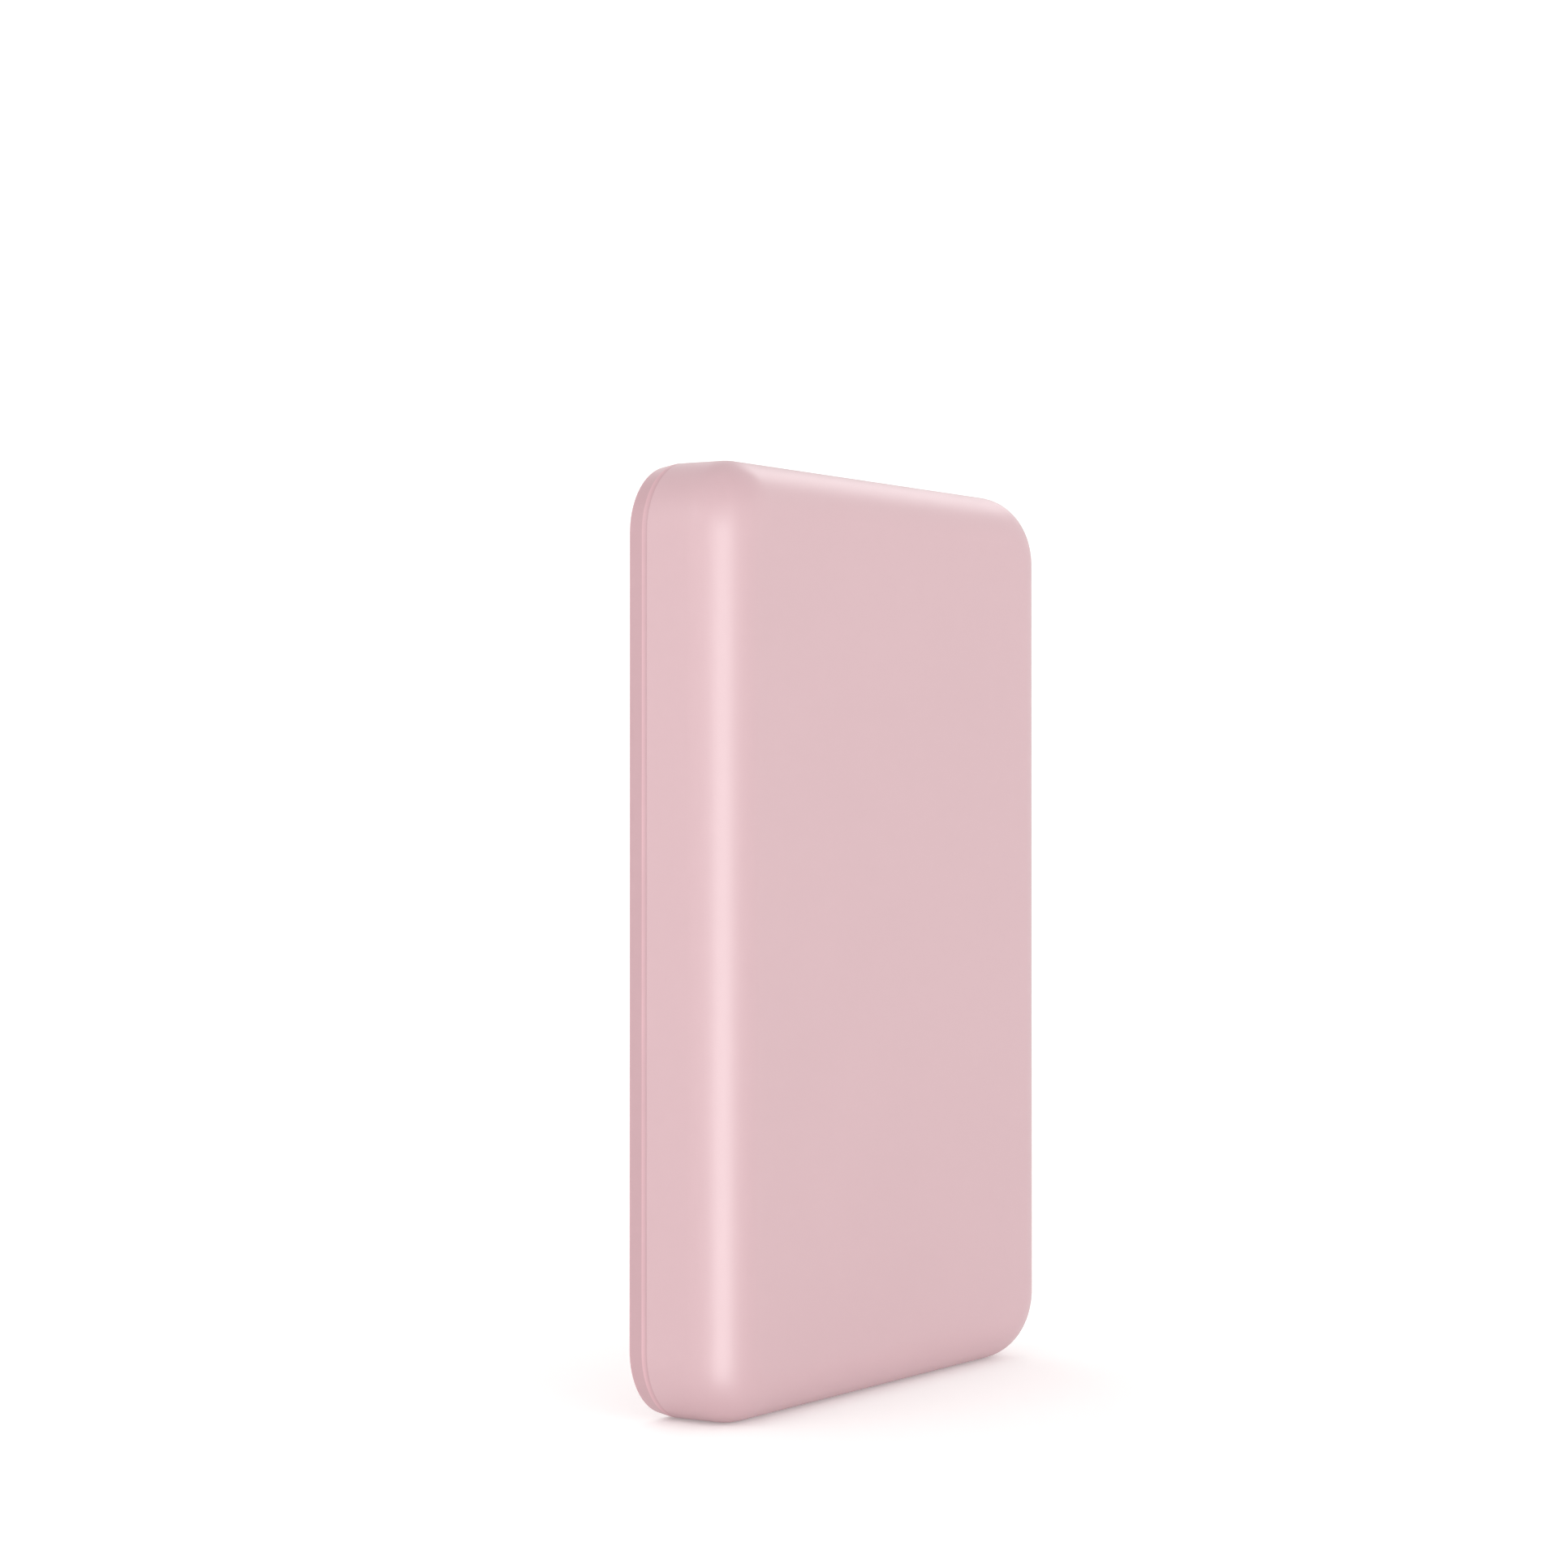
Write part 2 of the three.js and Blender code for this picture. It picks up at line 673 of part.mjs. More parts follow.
function mainBoard() {
  const inset = LIP_INSET + LIP_WALL + 2 * FIT;
  const low = BOARD_FROM - BEYOND;
  const high = BOARD_TOP + BEYOND;
  const sheet = solid(prism(caseOutline(inset), BOARD_FROM, BOARD_TOP));
  const corner = block(-WIDTH, BOARD_ARM_LEFT, BOARD_STRIP_TOP, HEIGHT, low, high);
  const above = block(-WIDTH, WIDTH, BOARD_ARM_TOP, HEIGHT, low, high);
  const holes = SCREWS.map(([x, y]) =>
    prism(circle(SCREW_RADIUS + 3 * FIT), low, high).translate(x, y, 0),
  );
  return cut(sheet, solid(corner), solid(above), ...holes.map(solid));
}

// A pan-head screw with a crossed slot, driven from the phone side into its boss.
function boardScrew([x, y]) {
  const headTop = BOARD_FROM - TOUCH;
  const headBottom = COVER_INSIDE + FIT;
  const body = turned(
    [
      [0, headBottom],
      [SCREW_HEAD - 0.2, headBottom],
      [SCREW_HEAD, headBottom + 0.15],
      [SCREW_HEAD, headTop],
      [SCREW_RADIUS, headTop],
      [SCREW_RADIUS, SCREW_TIP - 0.5],
      [0, SCREW_TIP],
    ],
    TURNED_STEPS,
  );
  const slot = (width, length) =>
    solid(chip(0, 0, headBottom - BEYOND, width, length, BEYOND + CROSS.depth));
  const screw = cut(solid(body), slot(CROSS.width, CROSS.length), slot(CROSS.length, CROSS.width));
  return screw.translate([x, y, 0]);
}

// The drawn steel sleeve of the USB-C port, open towards the wall and at its back.
function usbShell() {
  const to = SIDE_OUT - PORT_RECESS;
  const from = to - PORT_DEPTH;
  const sleeve = prism(pill(PORT_HEIGHT, PORT_LENGTH), from, to);
  const bore = prism(
    pill(PORT_HEIGHT - 2 * PORT_SHEET, PORT_LENGTH - 2 * PORT_SHEET),
    from - BEYOND,
    to + BEYOND,
  );
  return cut(solid(throughSide(sleeve, PORT_Y)), solid(throughSide(bore, PORT_Y)));
}

// The port's plastic core: a plug at the back of the sleeve that carries the contact tongue.
function usbTongue() {
  const from = SIDE_OUT - PORT_RECESS - PORT_DEPTH + FIT;
  const clear = 2 * (PORT_SHEET + FIT);
  const { thickness, width, round, reach } = TONGUE;
  const core = prism(pill(PORT_HEIGHT - clear, PORT_LENGTH - clear), from, from + PORT_CORE);
  const outline = roundedRect(thickness - 2 * round, width - 2 * round, round);
  const tongue = roundedPrism(outline, from + PORT_CORE / 2, from + reach, round, 1, SMALL_STEPS);
  return join(solid(throughSide(core, PORT_Y)), solid(throughSide(tongue, PORT_Y)));
}

function led(y) {
  return chip(LED.x + LED.depth / 2, y, ON_BOARD, LED.depth, LED.width, LED.height);
}

// One clear moulding: a bar along the row of LEDs with a round pin to the wall for each.
function lightPipe() {
  const from = LED.x + LED.depth + PIPE_GAP;
  const to = from + PIPE_BAR.thickness;
  const places = ledPlaces();
  const spine = block(
    from,
    to,
    places[0] - PIPE_BAR.margin,
    places[LED_COUNT - 1] + PIPE_BAR.margin,
    LIP_TOP + FIT,
    SIDE_DEPTH + PIPE_BAR.above,
  );
  const pins = places.map((y) =>
    throughSide(prism(circle(PIPE_PIN), (from + to) / 2, SIDE_OUT - BUTTON_RECESS), y),
  );
  return join(solid(spine), ...pins.map(solid));
}

// A block on the board's strip, in the row of parts or off its middle by offset.
function stripPart(x, offset, [width, length, height]) {
  return chip(x, STRIP_Y + offset, ON_BOARD, width, length, height);
}

function powerInductor() {
  const { x, y, side, radius, round, height } = INDUCTOR;
  const outline = roundedRect(side - 2 * round, side - 2 * round, radius);
  const body = roundedPrism(outline, ON_BOARD, ON_BOARD + height, round, SMALL_STEPS, SMALL_STEPS);
  return body.translate(x, y, 0);
}

// A bead under the heat spreader with two legs down to the board.
function thermistor() {
  const { x, y, radius, length, flat, leg, spread } = THERMISTOR;
  const depth = SPREADER.from - PIPE_GAP - radius * flat;
  const bead = new THREE.SphereGeometry(radius, 8, 6).scale(1, length, flat);
  const wire = (side) =>
    bar(
      [
        [x + side * spread, y, depth],
        [x + side * spread, y - 4, depth],
        [x + side * spread, y - 6, depth - FIT],
        [x + side * spread, LEAD_END_Y, BOARD_TOP + 0.35 + leg],
      ],
      leg,
      5,
    );
  return join(solid(bead.translate(x, y, depth)), solid(wire(-1)), solid(wire(1)));
}

// ---------------------------------------------------------------------------
// Power button and its switch
// ---------------------------------------------------------------------------

// The cap shows in the wall; a flange behind the wall stops it coming out.
function powerButton() {
  const face = SIDE_OUT - BUTTON_RECESS;
  const flangeTo = SIDE_IN - FIT;
  const flangeFrom = flangeTo - FLANGE.thickness;
  const cap = roundedPrism(
    pill(BUTTON_WIDTH - 2 * BUTTON_ROUND, BUTTON_LENGTH - 2 * BUTTON_ROUND),
    flangeFrom,
    face,
    BUTTON_ROUND,
    SMALL_STEPS,
  );
  const outline = roundedRect(FLANGE.width, FLANGE.length, FLANGE.radius);
  const flange = prism(outline, flangeFrom, flangeTo, SMALL_STEPS);
  const stem = prism(circle(STEM_RADIUS), PLUNGER.tip + TOUCH, (flangeFrom + flangeTo) / 2);
  return join(
    solid(throughSide(cap, BUTTON_Y)),
    solid(throughSide(flange, BUTTON_Y)),
    solid(throughSide(stem, BUTTON_Y)),
  );
}

// A block as long and as high as the switch, from one x to another.
function switchBlock(from, to) {
  const [low, high] = [BUTTON_Y - SWITCH_HALF, BUTTON_Y + SWITCH_HALF];
  return solid(block(from, to, low, high, ON_BOARD, SWITCH_TOP));
}

// The switch's body, with a blind round chamber for the dome and the plunger.
function switchHousing() {
  const chamber = prism(circle(CHAMBER_RADIUS), CHAMBER_BACK, SWITCH_FRONT + BEYOND);
  return cut(switchBlock(SWITCH_BACK, SWITCH_FRONT), solid(throughSide(chamber, BUTTON_Y)));
}

// The steel plate that closes the chamber round the plunger.
function switchCover() {
  const from = SWITCH_FRONT + TOUCH;
  const hole = prism(circle(PLUNGER.pin + 0.15), from - BEYOND, from + BEYOND);
  return cut(switchBlock(from, from + SWITCH_SHEET), solid(throughSide(hole, BUTTON_Y)));
}

// The plunger's shoulder stays behind the cover plate; its pin comes out to the button.
function switchPlunger() {
  const { back, shoulder, tip, radius, pin } = PLUNGER;
  const profile = [
    [0, back],
    [radius, back],
    [radius, shoulder],
    [pin, shoulder],
    [pin, tip],
    [0, tip],
  ];
  return throughSide(turned(profile, TURNED_STEPS), BUTTON_Y);
}

// The thin sprung dome under the plunger: it snaps flat as the plunger comes down on it.
function snapDome() {
  const { radius, sheet, steps } = DOME;
  const rim = CHAMBER_BACK + TOUCH;
  const rise = PLUNGER.back - TOUCH - sheet - rim;
  const cap = (lift) =>
    Array.from({ length: steps + 1 }, (_, i) => {
      const share = i / steps;
      return [radius * share, rim + rise * (1 - share * share) + lift];
    });
  return throughSide(turned([...cap(0), ...cap(sheet).reverse()], TURNED_STEPS), BUTTON_Y);
}

// ---------------------------------------------------------------------------
// Materials
// ---------------------------------------------------------------------------

function material(color, roughness, metalness = 0) {
  return new THREE.MeshStandardMaterial({ color, roughness, metalness });
}

const MATERIALS = {
  shellPink: material("#e5bfc6", 0.55),
  coverPink: material("#dfb6be", 0.6),
  padPink: material("#cfa2ab", 0.75),
  buttonPink: material("#e2bac2", 0.5),
  framePlastic: material("#e9e7e4", 0.6),
  blackPlastic: material("#1d1e20", 0.5),
  clearPlastic: material("#eef3f5", 0.15),
  pouch: material("#c9cdd1", 0.35, 0.8),
  nickel: material("#c2bfb6", 0.3, 1),
  steel: material("#b9bcbf", 0.35, 1),
  magnet: material("#a9adb2", 0.3, 1),
  copper: material("#b5683a", 0.35, 0.9),
  ferrite: material("#3a3b3e", 0.8),
  aluminium: material("#cccdce", 0.35, 0.9),
  foam: material("#2b2b2d", 0.95),
  boardGreen: material("#1f5a3c", 0.5),
  chipBlack: material("#17181a", 0.4),
  ceramicTan: material("#b79a72", 0.5),
  ledWhite: material("#f4f1dd", 0.4),
  wireRed: material("#b3272c", 0.5),
  wireBlack: material("#1b1b1d", 0.5),
};

// ---------------------------------------------------------------------------
// Assembly
// ---------------------------------------------------------------------------

// The bank lying on its phone side, stood up and lifted onto its bottom end.
const laid = new THREE.Group();
laid.rotation.x = Math.PI / 2;
laid.position.set(0, THICKNESS / 2, HEIGHT / 2);

function addPiece(group, name, shape, finish) {
  const geometry = shape.isBufferGeometry ? shape : geometryOf(shape);
  const mesh = new THREE.Mesh(geometry, finish);
  mesh.name = name;
  group.add(mesh);
}

const casing = new THREE.Group();
addPiece(casing, "front_shell", frontShell(), MATERIALS.shellPink);
addPiece(casing, "rear_cover", rearCover(), MATERIALS.coverPink);
addPiece(casing, "contact_pad", contactPad(), MATERIALS.padPink);
addPiece(casing, "mid_frame", midFrame(), MATERIALS.framePlastic);

const battery = new THREE.Group();
addPiece(battery, "battery_cell", batteryCell(), MATERIALS.pouch);
addPiece(battery, "cell_tab_positive", cellTab(TAB.places[0]), MATERIALS.nickel);
addPiece(battery, "cell_tab_negative", cellTab(TAB.places[1]), MATERIALS.nickel);
addPiece(battery, "cell_foam", cellFoam(), MATERIALS.foam);
addPiece(battery, "protection_board", protectionBoard(), MATERIALS.boardGreen);
addPiece(battery, "protection_chip", protectionChip(), MATERIALS.chipBlack);
addPiece(battery, "battery_wire_positive", batteryWire(26, 44.2), MATERIALS.wireRed);
addPiece(battery, "battery_wire_negative", batteryWire(24.2, 42.4), MATERIALS.wireBlack);

const charging = new THREE.Group();
addPiece(charging, "charging_coil", chargingCoil(), MATERIALS.copper);
addPiece(charging, "coil_lead_inner", innerLead(), MATERIALS.copper);
addPiece(charging, "coil_lead_outer", outerLead(), MATERIALS.copper);
addPiece(charging, "ferrite_sheet", ferriteSheet(), MATERIALS.ferrite);
addPiece(charging, "heat_spreader", heatSpreader(), MATERIALS.aluminium);
addPiece(charging, "magnet_carrier", magnetCarrier(), MATERIALS.blackPlastic);
addPiece(charging, "magnet_back_ring", backRing(), MATERIALS.steel);
for (let i = 0; i < MAGNET_COUNT; i++) {
  addPiece(charging, `ring_magnet_${i + 1}`, ringMagnet(i), MATERIALS.magnet);
}
addPiece(charging, "alignment_magnet", alignmentMagnet(), MATERIALS.magnet);

const electronics = new THREE.Group();
addPiece(electronics, "main_board", mainBoard(), MATERIALS.boardGreen);
SCREWS.forEach((place, i) => {
  addPiece(electronics, `board_screw_${i + 1}`, boardScrew(place), MATERIALS.steel);
});
addPiece(electronics, "usb_shell", usbShell(), MATERIALS.steel);
addPiece(electronics, "usb_tongue", usbTongue(), MATERIALS.blackPlastic);
ledPlaces().forEach((y, i) => {
  addPiece(electronics, `led_${i + 1}`, led(y), MATERIALS.ledWhite);
});
addPiece(electronics, "light_pipe", lightPipe(), MATERIALS.clearPlastic);
addPiece(electronics, "power_inductor", powerInductor(), MATERIALS.ferrite);
const STRIP_PARTS = [
  ["resonance_capacitor", -10.4, 0, [5.7, 5, 2.4], MATERIALS.ceramicTan],
  ["coil_driver_chip", 0, 0, [5, 5, 0.9], MATERIALS.chipBlack],
  ["charger_chip", 9.5, 0, [4, 4, 0.9], MATERIALS.chipBlack],
  ["control_chip", 16, 0, [3, 3, 0.8], MATERIALS.chipBlack],
  ["supply_capacitor_1", 21.5, -1.6, [3.2, 2.5, 1.6], MATERIALS.ceramicTan],
  ["supply_capacitor_2", 21.5, 1.6, [3.2, 2.5, 1.6], MATERIALS.ceramicTan],
];
for (const [name, x, offset, size, finish] of STRIP_PARTS) {
  addPiece(electronics, name, stripPart(x, offset, size), finish);
}
addPiece(electronics, "thermistor", thermistor(), MATERIALS.chipBlack);

const control = new THREE.Group();
addPiece(control, "power_button", powerButton(), MATERIALS.buttonPink);
addPiece(control, "switch_housing", switchHousing(), MATERIALS.blackPlastic);
addPiece(control, "switch_cover", switchCover(), MATERIALS.steel);
addPiece(control, "switch_plunger", switchPlunger(), MATERIALS.blackPlastic);
addPiece(control, "snap_dome", snapDome(), MATERIALS.steel);

laid.add(casing, battery, charging, electronics, control);

const powerBank = new THREE.Group();
powerBank.add(laid);

export default powerBank;
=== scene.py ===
"""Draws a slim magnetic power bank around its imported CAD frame. Every length is in metres.

The visible parts are lofts: rows of points joined ring by ring, then cut or joined by exact
booleans. The CAD nodes inside the case keep their shape and get their finish here.
"""

import math

import bmesh
import bpy
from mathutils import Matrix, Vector


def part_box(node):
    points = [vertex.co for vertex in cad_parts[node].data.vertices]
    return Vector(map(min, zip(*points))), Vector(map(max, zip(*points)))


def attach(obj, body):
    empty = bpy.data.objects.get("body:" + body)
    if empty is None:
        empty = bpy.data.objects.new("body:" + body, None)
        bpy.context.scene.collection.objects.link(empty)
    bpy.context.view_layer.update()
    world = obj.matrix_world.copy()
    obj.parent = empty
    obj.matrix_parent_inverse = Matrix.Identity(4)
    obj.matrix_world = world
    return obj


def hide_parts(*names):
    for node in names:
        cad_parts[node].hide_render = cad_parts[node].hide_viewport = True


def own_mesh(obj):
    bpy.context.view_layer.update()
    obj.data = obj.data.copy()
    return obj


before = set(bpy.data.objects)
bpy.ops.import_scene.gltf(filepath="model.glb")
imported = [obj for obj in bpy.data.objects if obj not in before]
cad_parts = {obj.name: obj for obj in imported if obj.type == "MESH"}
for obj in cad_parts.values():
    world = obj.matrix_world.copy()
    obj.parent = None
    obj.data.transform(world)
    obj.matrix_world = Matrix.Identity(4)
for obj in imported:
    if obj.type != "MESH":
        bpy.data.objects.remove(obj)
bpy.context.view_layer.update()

MM = 0.001

# ---------------------------------------------------------------------------
# Places, from the boxes of the CAD nodes
# ---------------------------------------------------------------------------

SHELL_LOW, SHELL_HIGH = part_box("front_shell")
COVER_LOW, COVER_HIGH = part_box("rear_cover")
PAD_LOW, PAD_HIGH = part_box("contact_pad")
PORT_LOW, PORT_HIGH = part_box("usb_shell")
TONGUE_LOW, TONGUE_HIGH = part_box("usb_tongue")
GUIDE_LOW, GUIDE_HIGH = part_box("light_pipe")
BUTTON_LOW, BUTTON_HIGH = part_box("power_button")
DOME_LOW, DOME_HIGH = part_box("snap_dome")

WIDTH = SHELL_HIGH.x - SHELL_LOW.x
HEIGHT = SHELL_HIGH.z - SHELL_LOW.z
MIDDLE_Z = (SHELL_LOW.z + SHELL_HIGH.z) / 2
WALL_X = SHELL_HIGH.x
FACE_Y = SHELL_LOW.y
SEAM_Y = SHELL_HIGH.y
BACK_Y = COVER_HIGH.y
LIP_Y = COVER_LOW.y

PAD_MIDDLE = (PAD_LOW + PAD_HIGH) / 2
PAD_RADIUS = (PAD_HIGH.x - PAD_LOW.x) / 2

PORT_Y = (PORT_LOW.y + PORT_HIGH.y) / 2
PORT_Z = (PORT_LOW.z + PORT_HIGH.z) / 2
PORT_WIDTH = PORT_HIGH.y - PORT_LOW.y
PORT_LENGTH = PORT_HIGH.z - PORT_LOW.z
BUTTON_Z = (BUTTON_LOW.z + BUTTON_HIGH.z) / 2
LIGHT_MIDDLE = (GUIDE_LOW.z + GUIDE_HIGH.z) / 2
OBJECT_MIDDLE = Vector((0, 0, MIDDLE_Z))

# ---------------------------------------------------------------------------
# Driving sizes
# ---------------------------------------------------------------------------

CORNER_RADIUS = 7.5 * MM
FACE_FILLET = 5.4 * MM
SHELL_WALL = 1.4 * MM
SEAM_EDGE_ROUND = 0.02 * MM
SEAM_GAP = 0.01 * MM
COVER_CHAMFER_RUN = 0.55 * MM
COVER_CHAMFER_RISE = 0.08 * MM
COVER_WEAR_FADE = 0.08 * MM
COVER_TAPER = 0.25 * MM
BACK_EDGE_ROUND = 0.25 * MM
COVER_WALL = 1.2 * MM
LIP_INSET = 1.5 * MM
LIP_WALL = 0.9 * MM
RECESS_DEPTH = 0.7 * MM
RECESS_GAP = 0.1 * MM
RECESS_EDGE_ROUND = 0.15 * MM

PAD_EDGE_ROUND = 0.2 * MM
PAD_GROOVE_RADIUS = 23 * MM
PAD_GROOVE_WIDTH = 0.8 * MM
PAD_GROOVE_DEPTH = 0.25 * MM

APERTURE_GAP = 0.2 * MM
APERTURE_ROUND = 0.22 * MM
BUTTON_GAP = 0.12 * MM
BUTTON_LENGTH = 7 * MM
BUTTON_WIDTH = 2.6 * MM
BUTTON_ROUND = 0.35 * MM
BUTTON_DISH = 0.1 * MM
FLANGE_THICKNESS = 0.5 * MM
FLANGE_RADIUS = 0.6 * MM
STEM_RADIUS = 0.9 * MM
STEM_LENGTH = 1.55 * MM
DOME_SHEET = 0.08 * MM

PORT_SHEET = 0.3 * MM
PORT_LIP_ROUND = 0.12 * MM
CORE_LENGTH = 1.9 * MM
TONGUE_WIDTH = 6.7 * MM
TONGUE_THICKNESS = 0.7 * MM
TONGUE_ROUND = 0.12 * MM
CONTACTS_PER_SIDE = 12
CONTACT_PITCH = 0.5 * MM
CONTACT_WIDTH = 0.26 * MM
CONTACT_LENGTH = 3.4 * MM
CONTACT_SINK = 0.04 * MM
CONTACT_PROUD = 0.02 * MM
CONTACT_TIP_WIDTH = 0.8 * CONTACT_WIDTH
CONTACT_CORNER_STEPS = 2

LIGHT_COUNT = 4
LIGHT_PITCH = 2 * MM
LIGHT_RADIUS = 0.5 * MM
LIGHT_HOLE_RADIUS = 0.6 * MM
LIGHT_DOME = 0.12 * MM
GUIDE_BAR_DEPTH = 0.85 * MM
GUIDE_BAR_ROUND = 0.2 * MM
LIGHT_Z = [
    LIGHT_MIDDLE + (number - (LIGHT_COUNT - 1) / 2) * LIGHT_PITCH for number in range(LIGHT_COUNT)
]

# How finely curves are divided.
CORNER_STEPS = 20
FILLET_STEPS = 20
EDGE_STEPS = 4
CIRCLE_STEPS = 40
SMALL_STEPS = 10
GROOVE_STEPS = 16

# HAIR keeps points and faces that meet from coinciding, and the recess's cutter runs on by CUT_BEYOND.
SMALLEST_RADIUS = 0.02 * MM
HAIR = 0.001 * MM
CUT_BEYOND = 1 * MM

# Shading is smooth below this angle, and edges that turn by these many degrees wear.
SHARP_ANGLE = math.radians(40)
LEAST_WORN_TURN = 15
MOST_WORN_TURN = 60

# ---------------------------------------------------------------------------
# Camera, at the photograph's viewing angle. It is made before the pieces.
# ---------------------------------------------------------------------------

CAMERA_TURN = math.radians(-57.28)
CAMERA_PITCH = math.radians(0.466)
CAMERA_PLACE = Vector((-324.89, -200.36, 60.74)) * MM
CAMERA_LENS = 82.7
CAMERA_SENSOR = 36
CAMERA_NEAR = 0.01
CAMERA_FAR = 20

camera_data = bpy.data.cameras.new("camera")
camera_data.lens = CAMERA_LENS
camera_data.sensor_width = CAMERA_SENSOR
camera_data.clip_start = CAMERA_NEAR
camera_data.clip_end = CAMERA_FAR
camera = bpy.data.objects.new("camera", camera_data)
camera.location = CAMERA_PLACE
camera.rotation_euler = (math.pi / 2 + CAMERA_PITCH, 0, CAMERA_TURN)
bpy.context.scene.collection.objects.link(camera)
bpy.context.scene.camera = camera

# ---------------------------------------------------------------------------
# Outlines and rings
# ---------------------------------------------------------------------------


def outline(width, height, radius, steps=CORNER_STEPS):
    """Points (across, up) round a rectangle with round corners, centred on the origin."""
    radius = max(radius, SMALLEST_RADIUS)
    points = []
    for corner, (side, end) in enumerate(((1, 1), (-1, 1), (-1, -1), (1, -1))):
        middle = (side * (width / 2 - radius), end * (height / 2 - radius))
        for step in range(steps + 1):
            turn = (corner + step / steps) * math.pi / 2
            points.append((
                middle[0] + radius * math.cos(turn),
                middle[1] + radius * math.sin(turn),
            ))
    return points


def pill(width, height, inset=0.0, steps=SMALL_STEPS):
    """A stadium's outline, pulled in by inset."""
    across, up = width - 2 * inset, height - 2 * inset
    return outline(across, up, min(across, up) / 2 - HAIR, steps)


def circle(radius, steps=CIRCLE_STEPS):
    return outline(2 * radius, 2 * radius, radius - HAIR, steps)


def quarter(steps):
    """(sine, cosine) of the angles from 0 to a quarter turn."""
    turns = [step / steps * math.pi / 2 for step in range(steps + 1)]
    return [(math.sin(turn), math.cos(turn)) for turn in turns]


def case_ring(inset, y):
    """The case's outline, pulled in by inset, in the plane at y."""
    points = outline(WIDTH - 2 * inset, HEIGHT - 2 * inset, CORNER_RADIUS - inset)
    return [Vector((across, y, MIDDLE_Z + up)) for across, up in points]


def side_ring(points, x, y, z):
    """An outline in the plane of the side wall, with its middle at (x, y, z)."""
    return [Vector((x, y + across, z + up)) for across, up in points]


def pad_ring(radius, y):
    """A circle round the pad's middle, in the plane at y."""
    points = circle(radius)
    return [Vector((PAD_MIDDLE.x + across, y, PAD_MIDDLE.z + up)) for across, up in points]


# ---------------------------------------------------------------------------
# Lofts, booleans and pieces
# ---------------------------------------------------------------------------


def add_loft(bm, rings, tube=False):
    """Joins rings of equal length. The ends are closed, or in a tube joined to each other."""
    rows = [[bm.verts.new(point) for point in ring] for ring in rings]
    pairs = list(zip(rows, rows[1:]))
    if tube:
        pairs.append((rows[-1], rows[0]))
    else:
        bm.faces.new(rows[0])
        bm.faces.new(rows[-1])
    count = len(rows[0])
    for near, far in pairs:
        for at in range(count):
            after = (at + 1) % count
            bm.faces.new((near[at], near[after], far[after], far[at]))


def mesh_of(name, lofts, tube=False):
    """One mesh of one or more lofts."""
    bm = bmesh.new()
    for rings in lofts:
        add_loft(bm, rings, tube)
    bmesh.ops.recalc_face_normals(bm, faces=bm.faces)
    mesh = bpy.data.meshes.new(name)
    bm.to_mesh(mesh)
    bm.free()
    return mesh


def link(name, mesh):
    piece = bpy.data.objects.new(name, mesh)
    bpy.context.scene.collection.objects.link(piece)
    return piece


def lofted(name, lofts, tube=False):
    """A new object of one or more lofts."""
    return link(name, mesh_of(name, lofts, tube))


def apply_modifiers(piece):
    graph = bpy.context.evaluated_depsgraph_get()
    finished = bpy.data.meshes.new_from_object(piece.evaluated_get(graph))
    piece.modifiers.clear()
    piece.data = finished


def join_or_cut(piece, operation, others):
    """Joins the other lofts to the piece, or cuts them from it."""
    tools = []
    for number, rings in enumerate(others):
        tool = lofted(f"tool_{number}", [rings])
        tools.append(tool)
        modifier = piece.modifiers.new("shape", "BOOLEAN")
        modifier.operation = operation
        modifier.solver = "EXACT"
        modifier.object = tool
    apply_modifiers(piece)
    for tool in tools:
        bpy.data.objects.remove(tool)


def mark_edges(mesh):
    """Marks the points where the surface turns over an edge, which the finishes show as worn."""
    bm = bmesh.new()
    bm.from_mesh(mesh)
    layer = bm.verts.layers.float.new("edge")
    for vertex in bm.verts:
        turn = max(math.degrees(edge.calc_face_angle(0)) for edge in vertex.link_edges)
        vertex[layer] = 1.0 if LEAST_WORN_TURN < turn < MOST_WORN_TURN else 0.0
    bm.to_mesh(mesh)
    bm.free()


def finish_piece(piece, material, slot, body, *replaced):
    """Shades the piece smoothly between its sharp edges and puts it in the frame."""
    mesh = piece.data
    mesh.shade_smooth()
    mesh.set_sharp_from_angle(angle=SHARP_ANGLE)
    normals = piece.modifiers.new("normals", "WEIGHTED_NORMAL")
    normals.keep_sharp = True
    apply_modifiers(piece)
    mark_edges(piece.data)
    piece.data.name = piece.name
    piece.data.materials.clear()
    piece.data.materials.append(material)
    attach(piece, body)
    if replaced:
        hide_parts(*replaced)


# ---------------------------------------------------------------------------
# How a finish is made
# ---------------------------------------------------------------------------

PATCH_LOW = 0.3
PATCH_HIGH = 0.7
PATCH_DETAIL = 3
GRAIN_DETAIL = 2
WORN_LIGHTER = 1.25
LOWEST_ROUGHNESS = 0.05


def scaled(colour, factor):
    """The colour times factor, fully opaque."""
    return tuple(min(1.0, part * factor) for part in colour) + (1.0,)


def object_place(tree, stretch):
    """Places on the object in metres, scaled by stretch."""
    place = tree.nodes.new("ShaderNodeTexCoord")
    mapping = tree.nodes.new("ShaderNodeMapping")
    mapping.inputs["Scale"].default_value = stretch
    tree.links.new(place.outputs["Object"], mapping.inputs["Vector"])
    return mapping.outputs["Vector"]


def clouds(tree, place, scale, detail):
    noise = tree.nodes.new("ShaderNodeTexNoise")
    noise.inputs["Scale"].default_value = scale
    noise.inputs["Detail"].default_value = detail
    tree.links.new(place, noise.inputs["Vector"])
    return noise.outputs["Fac"]


def crystals(tree, place, scale):
    cells = tree.nodes.new("ShaderNodeTexVoronoi")
    cells.inputs["Scale"].default_value = scale
    tree.links.new(place, cells.inputs["Vector"])
    return cells.outputs["Distance"]


